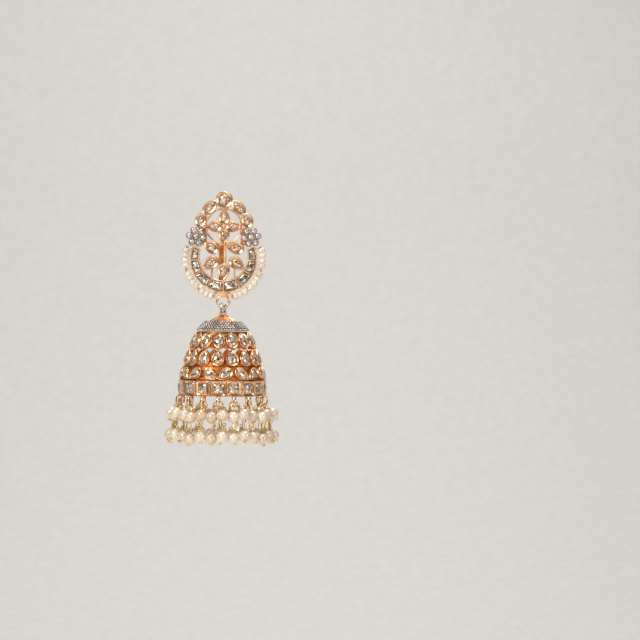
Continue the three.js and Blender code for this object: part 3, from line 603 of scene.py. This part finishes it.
def gem(name, dark, tan, pale, flash, shine):
    """Foil-backed stone: each facet mirrors the studio in part, and its colour is a painted reflection of its
    own patch of light or dark, broken up further inside it, from painted dark to a painted glint in flash.
    """
    f = Finish(name)
    glint = f.tone() * 0.78 + f.patches(0.5) * 0.22
    f.set(Base_Color=f.ramp(glint, [(0.2, dark), (0.34, tan), (0.6, pale), (0.74, flash)]))
    f.set(Metallic=shine, Roughness=glint * 0.12 + 0.05, IOR=1.6, Coat_Weight=1.0, Coat_Roughness=0.03)
    return f.material


def lustre(name, warm, pale, size, glow):
    """Pearl lustre: a cream body that drifts from pearl to pearl, under a soft coat with faint ripples."""
    f = Finish(name)
    f.set(Base_Color=f.ramp(f.noise(size) * 0.7 + f.tone() * 0.3, [(0.28, warm), (0.58, pale)]))
    f.set(Roughness=f.noise(0.6) * 0.2 + 0.16, Coat_Weight=1.0, Coat_Roughness=0.06, Coat_IOR=2.1)
    f.set(Subsurface_Weight=glow, Subsurface_Radius=(0.9, 0.6, 0.4), Subsurface_Scale=MM)
    f.bump(f.noise(1.1, 2.0), 0.15, 0.05)
    return f.material


FINISHES = {
    "gold": metal("antique_gold", (0.42, 0.13, 0.03), (0.77, 0.35, 0.12), (0.96, 0.60, 0.31), 0.34),
    # Bright gold: a more polished gold, lightened with painted highlight, for lips, rims and wires that catch
    # the light.
    "bright_gold": metal("painted_highlight_gold", (0.78, 0.38, 0.16), (0.96, 0.63, 0.36), (1.0, 0.82, 0.60), 0.27),
    # Ground: the gold darkened with painted shade, for metal that lies deep behind the stones.
    "ground": metal("painted_shade_gold", (0.30, 0.08, 0.012), (0.52, 0.18, 0.04), (0.74, 0.33, 0.10), 0.5),
    "pin": metal("pin_gold", (0.60, 0.38, 0.09), (0.88, 0.64, 0.22), (0.98, 0.82, 0.42), 0.24),
    "silver": metal("rhodium_silver", (0.46, 0.39, 0.34), (0.74, 0.66, 0.59), (0.97, 0.91, 0.85), 0.34),
    # Dark silver: near-black silver for the cone under the pavé's stones.
    "dark_silver": metal("near_black_silver", (0.07, 0.05, 0.04), (0.16, 0.12, 0.10), (0.30, 0.25, 0.21), 0.36),
    # Stones: dark and flash are painted reflections and glints on the facets; tan and pale are the champagne,
    # smoky or clear stone's own colour with painted reflection on it.
    "stone": gem(
        "champagne_stone", (0.06, 0.03, 0.015), (0.42, 0.22, 0.11), (0.78, 0.52, 0.34), (1.0, 0.9, 0.8), 0.45
    ),
    "smoke": gem(
        "smoky_stone", (0.03, 0.022, 0.012), (0.19, 0.13, 0.075), (0.46, 0.34, 0.22), (1.0, 0.92, 0.80), 0.5
    ),
    "clear": gem(
        "clear_stone", (0.05, 0.035, 0.03), (0.30, 0.23, 0.19), (0.68, 0.59, 0.53), (1.0, 0.94, 0.89), 0.5
    ),
    "pearl": lustre("cream_pearl", (0.72, 0.52, 0.34), (0.93, 0.79, 0.62), 2.5, 0.08),
    "bead": lustre("ivory_bead", (0.80, 0.64, 0.46), (0.97, 0.86, 0.72), 1.5, 0.12),
}


# Stud.


def stud_settings():
    """Every setting of the stud's frame: its stone's name, place, shape, length and width."""
    lift = RING["radius"] - RING["lap"]
    settings = [("top_stone", on_face(0, RING["up"] + lift + TOP_STONE / 2), "round", TOP_STONE, TOP_STONE)]
    for row, angle, long, wide, lean in FLANKS:
        reach = lift + wide / 2
        a = np.radians(angle)
        for side, sign in SIDES:
            place = on_face(sign * reach * np.sin(a), RING["up"] + reach * np.cos(a), sign * lean)
            settings.append((f"flank_stone_{row}_{side}", place, "marquise", long, wide))
    reach = RING_PETAL["hub"] + RING_PETAL["long"] / 2
    for side, turn in RING_PETALS:
        place = on_face(0, RING["up"], turn) @ shift(0, reach)
        settings.append(("ring_petal_stone_" + side, place, "pear", RING_PETAL["long"], RING_PETAL["wide"]))
    for name, across, up, turn, long, wide in LOWER_PETALS:
        settings.append(("flower_petal_stone_" + name, on_face(across, up, turn), "pear", long, wide))
    return settings


def crescent_edge(angles, inset, outer):
    """Points on the crescent's outer or inner circle, met along rays from the outer circle's centre."""
    a = np.radians(angles)
    drop = CRESCENT["drop"]
    if outer:
        r = CRESCENT["outer"] - inset + 0 * a
    else:
        r = np.sqrt((CRESCENT["inner"] + inset) ** 2 - (drop * np.sin(a)) ** 2) - drop * np.cos(a)
    return np.stack([r * np.sin(a), -drop - r * np.cos(a), 0 * a], -1)


def crescent_metal():
    """Channel of the crescent: its floor, its two walls and the dividers between its cells."""
    sweep = np.linspace(-CRESCENT["end"], CRESCENT["end"], 97)
    inner = put(crescent_edge(sweep, CRESCENT_FLOOR["inset"], False), on_face())
    outer = put(crescent_edge(sweep, CRESCENT_FLOOR["inset"], True), on_face())
    low = TO_VIEWER * SETTING["back"]
    high = TO_VIEWER * (SETTING["back"] + CRESCENT_FLOOR["thick"])
    made = lofted(np.stack([inner + low, outer + low, outer + high, inner + high], 1), "gold")
    for on_outer in (True, False):
        edge = put(crescent_edge(sweep, CRESCENT["wall"] / 2, on_outer), on_face())
        section = bar_section(CRESCENT["wall"], SETTING["back"], SETTING["front"] + CRESCENT["rim"], 0.14)
        made += section_sweep(edge, section, "bright_gold", TO_VIEWER)
    for angle in np.concatenate([-CELL_EDGES[:0:-1], CELL_EDGES]):
        ends = np.array([crescent_edge(angle, CELL_BAR["lap"], on_outer) for on_outer in (False, True)])
        section = bar_section(CELL_BAR["wide"], SETTING["back"], SETTING["front"], 0.15)
        made += section_sweep(put(ends, on_face()), section, "bright_gold", TO_VIEWER)
    return made


def crescent_stone(low, high):
    """Curved stone of one cell: points along the outer edge, then back along the inner one."""
    slack = CRESCENT["wall"] + STONE_CLEAR

    def edge_at(step):
        share = np.minimum((np.arange(8) + step) / 7, 1)
        span = high - low - 2 * CELL_MARGIN
        outer = crescent_edge(low + CELL_MARGIN + span * share, slack, True)
        inner = crescent_edge(high - CELL_MARGIN - span * share, slack, False)
        return np.vstack([outer, inner])[:, :2]

    return cut_stone(on_face(), edge_at, "smoke", **CELL_STONE)


def face_bar(start, end, wide, back, front, finish="gold"):
    """Flat bar on the stud's face between two points."""
    ends = put(np.array([[*start, 0.0], [*end, 0.0]]), on_face())
    return section_sweep(ends, bar_section(wide, back, front), finish, TO_VIEWER)


def string_point(angle, off=0.0):
    """Points on the bead string, off towards the crescent."""
    a = np.radians(np.asarray(angle, dtype=float))
    r = BEAD["path"] - off
    return np.stack([r * np.sin(a), 0 * a - HANG_OUT, -CRESCENT["drop"] - r * np.cos(a)], -1)


def lash(angle):
    """Fine wire wound three times round the bead string, and the peg that ties it to the crescent."""
    turns = np.linspace(0, LASH["turns"] * TAU, 60)
    along = angle + (turns / turns[-1] - 0.5) * LASH["span"]
    a = np.radians(along)
    out = np.stack([np.sin(a), 0 * a, -np.cos(a)], 1)
    swing = np.cos(turns)[:, None] * out + np.sin(turns)[:, None] * TO_VIEWER
    coil = string_point(along) + LASH["radius"] * swing
    peg = np.vstack([string_point(angle, off) for off in LASH["peg_ends"]])
    return wire(coil, LASH["wire"], "bright_gold", 6) + wire(peg, LASH["peg"], "bright_gold")


def stud_metalwork():
    """Soldered openwork of the stud: the crescent, a setting for each stone, the ring's two wires and the
    dome in its middle, straps, side bars, the clusters' pads, the lashes, the bracket and its stirrup."""
    made = crescent_metal()
    for _, place, shape, long, wide in stud_settings():
        made += collet(place, shape, long, wide, **SETTING)
    for out, across, thick, finish, sides in RING_WIRES:
        made += oval_wire(on_face(0, RING["up"], 0, out), across, across, thick, finish, 96, sides)
    dome = put(np.array([0, RING["up"], RING_DOME["out"]]), on_face())
    made += balls(dome, RING_DOME["across"], "bright_gold", 10, 16)
    for strap in STRAPS:
        made += face_bar(*strap)
    for _, sign in SIDES:
        for start, end, wide, back, front in SIDE_BARS:
            made += face_bar((sign * start[0], start[1]), (sign * end[0], end[1]), wide, back, front)
        made += disc(CLUSTER_PAD, on_face(sign * CLUSTER["out"], CLUSTER["up"]), "gold")
        for angle in LASH_ANGLES:
            made += lash(sign * angle)
    for bar in BRACKET:
        made += face_bar(*bar)
    stirrup = on_face(0, STIRRUP["up"], 0, HANG_OUT)
    made += oval_wire(stirrup, STIRRUP["wide"], STIRRUP["high"], STIRRUP["wire"], "bright_gold", 64, 14)
    make("stud_metalwork", made, "stud", "stud_frame")


def stud_stones():
    """Stones of the stud's frame and of the crescent, each a piece of its own."""
    for name, place, shape, long, wide in stud_settings():
        stone = stone_in(place, shape, long, wide, SETTING["wall"], "stone", **STUD_STONE)
        make("cut_" + name, stone, "stud", name)
    for side, sign in SIDES:
        for i, ends in enumerate(zip(CELL_EDGES[:-1], CELL_EDGES[1:]), 1):
            low, high = sorted(sign * end for end in ends)
            name = f"crescent_stone_{side}_{i}"
            make("cut_" + name, crescent_stone(low, high), "stud", name)


def ear_post():
    """Post turned about Y: a flange against the strap, a pin with a groove for its catch, a bevelled end."""
    radii, behind = POST.T
    a = circle(32)[:, None]
    grid = np.stack([np.cos(a) * radii, 0 * a + behind, np.sin(a) * radii], -1)
    faces = skin(32, len(POST), close_rows=True, close_columns=False)
    make("turned_post", [patch(grid, faces, "bright_gold")], "stud", "ear_post")


def cluster(side, sign):
    """Small flower: a plate, seven bezels with round stones, and a grain between each two petals."""
    middle = on_face(sign * CLUSTER["out"], CLUSTER["up"])
    made = disc(CLUSTER_PLATE, middle, "silver")
    a = np.radians(sign * CLUSTER["turn"] + 60 * np.arange(6))
    spots = [(0, 0, CLUSTER["middle_front"])]
    spots += [(CLUSTER["ring"] * np.cos(t), CLUSTER["ring"] * np.sin(t), CLUSTER["petal_front"]) for t in a]
    size = CUP["across"]
    wall = CUP["wall"]
    for x, z, front in spots:
        place = middle @ shift(x, z)
        seat = front - CUP_STONE["seat"]
        girdle = front - CUP_STONE["girdle"]
        made += collet(place, "round", size, size, wall, CUP["back"], front, ("silver", "silver"), n=28)
        made += stone_in(place, "round", size, size, wall, "clear", seat, girdle, CUP_STONE["rise"], 12)
    between = a + np.pi / 6
    reach = CLUSTER_GRAIN["ring"]
    grains = np.stack([reach * np.cos(between), reach * np.sin(between), 0 * a + CLUSTER_GRAIN["out"]], 1)
    made += balls(put(grains, middle), CLUSTER_GRAIN["across"], "silver")
    make("set_cluster_" + side, made, "stud", "flower_cluster_" + side)


def bead(angle):
    """Seed bead: a superellipse turned about the string, dimpled at its bore."""
    t = np.linspace(-1, 1, 19)
    bore = BEAD["bore"] / 2
    along_power, away_power = BEAD_POWERS
    belly = bore + (BEAD["wide"] / 2 - bore) * (1 - np.abs(t) ** along_power) ** (1 / away_power)
    along = t * BEAD["long"] / 2
    along[[0, -1]] *= BEAD["dimple"]
    size = 1 + BEAD["spread"] * (rng.random() - 0.5)
    turn = angle + BEAD["stray"] * (rng.random() - 0.5)
    place = on_face(0, -CRESCENT["drop"], turn) @ shift(0, -BEAD["path"], HANG_OUT)
    edge = outline("round", 2 * size, 2 * size, 28)
    rings = np.concatenate([edge[None] * belly[:, None, None], np.tile(along[:, None, None], (1, 28, 1))], 2)
    return lofted(put(rings, place @ rotation("y", 90)), "bead", rng.random())


def bead_string(side, sign):
    """String of seed beads on its wire."""
    line = string_point(sign * np.linspace(STRING["start"], STRING["end"], 90))
    made = wire(line, STRING["wire"], "bright_gold")
    for angle in sign * BEAD_ANGLES:
        made += bead(angle)
    make("strung_beads_" + side, made, "stud", "seed_beads_" + side)


# Link and bell.


def bail_link():
    """Link between the stirrup and the eye. It is narrow in the eye and broadens above it by a smooth step,
    and has a column of small stones on its front."""
    mid = BAIL["top"] - BAIL["long"] / 2
    swell = np.clip((np.sin(circle(64)) + 1) / BAIL_STEP, 0, 1)
    broad = BAIL["wire"] + (BAIL["broad"] - BAIL["wire"]) * swell * swell * (3 - 2 * swell)
    loop = on_face(0, mid, 0, HANG_OUT) @ rotation("y", 90)
    made = oval_wire(loop, BAIL["wide"], BAIL["long"], BAIL["wire"], "silver", 64, 14, broad)
    size = BAIL_CUP["across"]
    wall = BAIL_CUP["wall"]
    for t in np.radians(BAIL_CUP_ANGLES):
        place = on_face(0, mid, 0, HANG_OUT) @ rotation("x", -np.degrees(t))
        reach = np.hypot(np.cos(t) * BAIL["wide"] / 2, np.sin(t) * BAIL["long"] / 2)
        back, front, seat, girdle = reach + BAIL_DEPTHS
        made += collet(place, "round", size, size, wall, back, front, ("silver", "silver"), n=20)
        made += stone_in(place, "round", size, size, wall, "clear", seat, girdle, BAIL_CUP["rise"], 10)
    make("set_bail", made, "bail", "bail_link")


def bell_cap():
    """Domed cap: a solid of revolution with a neck, its eye with two shoulders, fine ribs and a ring of
    grains."""
    under = CAP_HEIGHTS - CAP_WALL
    inside = np.array([[0, under[3]], [CAP_RADII[3], under[3]], [CAP_RADII[2], under[2]]])
    lip = np.array([[CAP_RADII[0] - CAP_LIP["in"], CAP_HEIGHTS[0] - CAP_LIP["down"]]])
    dome = np.column_stack([CAP_RADII[:4], CAP_HEIGHTS[:4]])
    radii, heights = np.vstack([inside, lip, dome, CAP_NECK]).T
    made = turned(radii, heights, "gold", closed=False)
    eye = on_face(0, EYE["up"], 0, HANG_OUT)
    made += oval_wire(eye, EYE["across"], EYE["across"], EYE["wire"], "bright_gold", 40, 12)
    for _, sign in SIDES:
        across, up = EYE_SHOULDER.T
        line = np.column_stack([sign * across, np.full(len(up), -HANG_OUT), up])
        made += wire(line, SHOULDER_WIRE, "gold", 10)
    r = CAP_RADII[0] * np.linspace(*CAP_RIB_SHARES, 12)
    z = np.interp(r, CAP_RADII[::-1], CAP_HEIGHTS[::-1]) + CAP_RIBS["proud"]
    for a in circle(CAP_RIBS["count"]):
        made += wire(about_bell(a, r, z), CAP_RIBS["wire"], "bright_gold", 6)
    grains = about_bell(circle(CAP_GRAINS["count"]), CAP_GRAINS["radius"], CAP_GRAINS["up"])
    made += balls(grains, CAP_GRAINS["across"], "bright_gold", 5, 7)
    make("domed_cap", made, "bell", "bell_cap")


def pave_band():
    """Silver cone set with five rings of tiny stones and a grain between each two."""
    face = PAVE_RADII - PAVE_SUNK
    radii = np.concatenate([face, (face - PAVE_WALL)[::-1]])
    heights = np.concatenate([PAVE_HEIGHTS, (PAVE_HEIGHTS - PAVE_DROP)[::-1]])
    heights[-1] = PAVE_HEIGHTS[0]
    made = turned(radii, heights, "dark_silver")
    slope = np.degrees(np.arctan2(PAVE_RADII[0] - PAVE_RADII[-1], PAVE_HEIGHTS[-1] - PAVE_HEIGHTS[0]))
    grain = np.array([PAVE_GRAIN["along"], PAVE_GRAIN["up"], PAVE_GRAIN["out"]])
    grains = []
    for row, share in enumerate(PAVE_SHARES):
        r = np.interp(3 * share, range(4), PAVE_RADII)
        z = np.interp(3 * share, range(4), PAVE_HEIGHTS)
        count = int(TAU * r / PAVE_PITCH)
        for angle in 360 * (np.arange(count) + 0.5 * (row % 2)) / count:
            place = on_bell(angle, r - PAVE_STONE_SUNK, z, slope)
            made += stone_in(place, "round", PAVE_ACROSS, PAVE_ACROSS, finish="clear", n=6, **PAVE_STONE)
            grains.append(put(grain, place))
    made += balls(grains, PAVE_GRAIN["across"], "silver", 4, 6)
    make("set_pave", made, "bell", "pave_band")


def stone_row(name, row, node, turns=(0,), off=0.0, extra=()):
    """Ring of settings and stones on the bell's cone, over strips of metal darkened with painted shade. The
    settings take the given turns one after another, and every other one moves by off degrees the other way
    round the bell."""
    count, first, shape, long, wide, top, bottom, lift = ROWS[row]
    top = np.array(top)
    bottom = np.array(bottom)
    tilt = np.degrees(np.arctan2(bottom[0] - top[0], top[1] - bottom[1]))
    middle = (top + bottom) / 2
    made = list(extra)
    inner, outer = ROW_GROUND
    for start, end in ROW_STRIPS[row]:
        (r0, z0), (r1, z1) = top + (bottom - top) * start, top + (bottom - top) * end
        # The strips are in the ground gold, darkened with painted shade between the rows.
        made += turned([r1 - inner, r1 - outer, r0 - outer, r0 - inner], [z1, z1, z0, z0], "ground")
    for k in range(count):
        sign = -1 if k % 2 else 1
        turn = turns[k % len(turns)] + ROW_STRAY * (rng.random() - 0.5)
        angle = first + 360 * k / count - sign * off
        place = on_bell(angle, *middle, tilt) @ shift(0, lift) @ rotation("z", turn)
        made += collet(place, shape, long, wide, **BELL_SETTING)
        made += stone_in(place, shape, long, wide, BELL_SETTING["wall"], "stone", **BELL_STONE)
    make(name, made, "bell", node)


def bell_rows():
    """The three rows of settings: marquises, pears with their tips up, and mirrored pairs of pears with a
    small three-cornered leaf between each two pairs."""
    stone_row("set_marquises", "marquise", "marquise_row")
    stone_row("set_pears", "pear", "pear_row")
    count, first = ROWS["pair"][:2]
    rings = [np.column_stack([PAIR_LEAF_CORNERS * share, np.full(3, out)]) for share, out in PAIR_LEAF_STEPS]
    leaves = []
    for k in range(1, count, 2):
        angle = first + 360 * (k + 0.5) / count
        place = on_bell(angle, PAIR_LEAF["radius"], PAIR_LEAF["up"], PAIR_LEAF["tilt"])
        leaves += lofted(put(np.array(rings), place), "bright_gold")
    turns = (PAIR["turn"], -PAIR["turn"])
    stone_row("set_paired_pears", "pair", "paired_pear_row", turns, PAIR["shift"], leaves)


def square_band():
    """Wall with raised edges, square settings with their stones, two bars between each two, and rim loops."""
    outer = BAND["radius"]
    low = BAND["low"]
    top = BAND["top"]
    bevel = outer - BAND_EDGE["bevel"]
    edge = [
        (bevel, 0),
        (outer, BAND_EDGE["crest"]),
        (bevel, BAND_EDGE["foot"]),
        (BAND["wall"], BAND_EDGE["end"]),
    ]
    lower = [(BAND["bore"], low)] + [(radius, low + up) for radius, up in edge]
    upper = [(radius, top - down) for radius, down in edge[::-1]] + [(BAND["bore"], top)]
    radii, heights = np.array(lower + upper).T
    made = turned(radii, heights, "gold")
    size = SQUARES["across"]
    wall = SQUARE_SETTING["wall"]
    inset = SQUARE_RIBS["inset"]
    for k in range(SQUARES["count"]):
        angle = SQUARES["first"] + 360 * k / SQUARES["count"]
        place = on_bell(angle, BAND["face"], (low + top) / 2)
        made += collet(place, "square", size, size, **SQUARE_SETTING)
        made += stone_in(place, "square", size, size, wall, "stone", **SQUARE_STONE)
        for _, sign in SIDES:
            between = angle + 180 / SQUARES["count"] + sign * SQUARE_RIBS["off"]
            ends = [on_bell(between, outer - SQUARE_RIBS["sunk"], z) for z in (low + inset, top - inset)]
            made += wire([end[:3, 3] for end in ends], SQUARE_RIBS["wire"], "bright_gold")
        loop = on_bell(angle, RIM_LOOP["radius"], RIM_LOOP["up"]) @ rotation("y", 90)
        oval = (RIM_LOOP["wide"], RIM_LOOP["high"], RIM_LOOP["wire"])
        made += oval_wire(loop, *oval, "bright_gold", 32, 10, RIM_LOOP["broad"])
    make("set_square_band", made, "bell", "square_stone_band")


def pearl_drops():
    """Two tiers of pearls, each on a headpin with a ball outside and a small ring inside, the hanger rings
    above them, and the rings and wires between the tiers."""
    made = []
    tiers = []
    for radius, height in TIERS:
        places = []
        for k in range(TIER["count"]):
            out, up = STRAYS[k % len(STRAYS)]
            places.append(on_bell(TIER["first"] + 360 * k / TIER["count"], radius + out, height + up))
        tiers.append(places)
        sizes = PEARL * (1 + PEARL_SPREAD * (rng.random(TIER["count"]) - 0.5))
        made += balls([m[:3, 3] for m in places], sizes, "pearl", 16, 28)
        heads = []
        for m, size in zip(places, sizes):
            stray = HEADPIN["stray"]
            aim = [stray * (rng.random() - 0.5), -1.0, HEADPIN["lift"] + stray * rng.random()]
            aim = m[:3, :3] @ np.array(aim)
            aim /= np.linalg.norm(aim)
            heads.append(m[:3, 3] + aim * (size / 2 + HEADPIN["proud"]))
            hole = m[:3, 3] - aim * (size / 2)
            pin = [hole + aim * HEADPIN["sunk"], hole - aim * HEADPIN["reach"]]
            made += wire(pin, HEADPIN["wire"], "pin", 7)
            ring = m.copy()
            ring[:3, 3] = hole - aim * PIN_RING["reach"]
            ring = ring @ rotation("y", 90 * rng.random())
            made += oval_wire(ring, PIN_RING["across"], PIN_RING["across"], PIN_RING["wire"], "pin", 16, 7)
        made += balls(heads, HEADPIN["ball"], "pin", 8, 12)
    drop = (HANGER["wire"] - HANGER["across"]) / 2
    for k in range(SQUARES["count"]):
        angle = SQUARES["first"] + 360 * k / SQUARES["count"]
        place = on_bell(angle, RIM_LOOP["radius"], HANGER["up"], HANGER["lean"]) @ shift(0, drop)
        made += oval_wire(place, HANGER["across"], HANGER["across"], HANGER["wire"], "pin", 36)
        angle += TIER_RING_STRAY["angle"] * (rng.random() - 0.5)
        ring = on_bell(angle, TIER_RING["radius"], TIER_RING["up"], TIER_RING["tilt"])
        ring = ring @ rotation("y", TIER_RING_STRAY["twist"] * (rng.random() - 0.5))
        made += oval_wire(ring, TIER_RING["wide"], TIER_RING["high"], TIER_RING["wire"], "pin", 28)
    for upper, lower in list(zip(*tiers))[::2]:
        made += wire([upper[:3, 3], lower[:3, 3]], TIER_WIRE, "pin", 7)
    make("pearl_drops", made, "bell", "pearl_fringe")


# Studio.

CAMERA = {"distance": 650.0, "seen": 192.0, "roll": -0.6, "across": 28.89, "up": -19.05}
AIM = (0, 0, -20)  # the middle of the earring
WARM = (1.0, 0.97, 0.93)
LIGHTS = (  # name, place, size, power, colour
    ("key", (-420, -520, 380), 240, 3.0, (1.0, 0.96, 0.90)),
    ("fill", (520, -420, 120), 260, 0.9, WARM),
    ("top", (60, -60, 520), 300, 1.4, WARM),
    ("back", (60, 240, 440), 300, 1.2, WARM),
    ("low", (-60, -480, -160), 120, 0.25, (1.0, 0.94, 0.86)),
    ("front", (-120, -720, 40), 420, 0.45, WARM),
)
SURROUND = {"colour": (0.55, 0.55, 0.56, 1), "strength": 0.18}
FLOOR = {"up": -175, "near": -1500, "bend_start": 300, "bend": 250, "top": 1600, "half_wide": 1800.0}


def add_object(name, data, place=None):
    """Links an object, placed by a matrix in millimetres."""
    obj = bpy.data.objects.new(name, data)
    if place is not None:
        place = place.copy()
        place[:3, 3] *= MM
        obj.matrix_world = place.T.tolist()
    bpy.context.scene.collection.objects.link(obj)
    return obj


def camera():
    """Camera straight in front, rolled a little, with the earring left of the middle as in the photograph.
    Seen is the width of the view at the earring."""
    distance = CAMERA["distance"]
    view = rotation("y", CAMERA["roll"]) @ on_face(CAMERA["across"], CAMERA["up"], 0, distance + HANG_OUT)
    data = bpy.data.cameras.new("camera")
    data.sensor_width = 36
    data.lens = 36 * distance / CAMERA["seen"]
    data.clip_start = 0.01
    bpy.context.scene.camera = add_object("camera", data, view)


def backdrop():
    """Pale floor that turns up by a quarter circle into a wall behind the earring."""
    t = np.linspace(0, np.pi / 2, 25)
    bend = FLOOR["bend"]
    start = FLOOR["bend_start"]
    y = np.concatenate([[FLOOR["near"]], start + bend * np.sin(t), [start + bend]])
    z = np.concatenate([[0], bend - bend * np.cos(t), [FLOOR["top"]]]) + FLOOR["up"]
    x = np.array([[-FLOOR["half_wide"], FLOOR["half_wide"]]])
    grid = np.stack(np.broadcast_arrays(x, y[:, None], z[:, None]), -1) * MM
    mesh = bpy.data.meshes.new("backdrop")
    mesh.from_pydata(grid.reshape(-1, 3).tolist(), [], skin(len(y), 2, close_columns=False).tolist())
    mesh.shade_smooth()
    f = Finish("pale_paper")
    f.set(Base_Color=f.ramp(f.noise(4.0, 4.0), [(0.3, (0.80, 0.79, 0.78)), (0.7, (0.84, 0.83, 0.82))]))
    f.set(Roughness=0.8)
    mesh.materials.append(f.material)
    add_object("backdrop", mesh)


def soft_light(name, place, size, power, colour):
    """Square softbox that faces the middle of the earring."""
    data = bpy.data.lights.new(name, "AREA")
    data.size = size * MM
    data.energy = power
    data.color = colour
    m = np.eye(4)
    m[:3, 3] = place
    m[:3, 2] = np.array(place) - AIM
    m[:3, 0] = np.cross(UPWARDS, m[:3, 2])
    m[:3, 1] = np.cross(m[:3, 2], m[:3, 0])
    m[:3, :3] /= np.linalg.norm(m[:3, :3], axis=0)
    add_object(name, data, m)


def studio():
    """Backdrop, six softboxes and a dim even surround."""
    backdrop()
    for light in LIGHTS:
        soft_light(*light)
    world = bpy.data.worlds.new("studio")
    world.use_nodes = True
    surround = world.node_tree.nodes["Background"]
    surround.inputs["Color"].default_value = SURROUND["colour"]
    surround.inputs["Strength"].default_value = SURROUND["strength"]
    bpy.context.scene.world = world
    bpy.context.scene.view_settings.view_transform = "Standard"


camera()
stud_metalwork()
stud_stones()
ear_post()
for side, sign in SIDES:
    cluster(side, sign)
    bead_string(side, sign)
bail_link()
bell_cap()
pave_band()
bell_rows()
square_band()
pearl_drops()
studio()
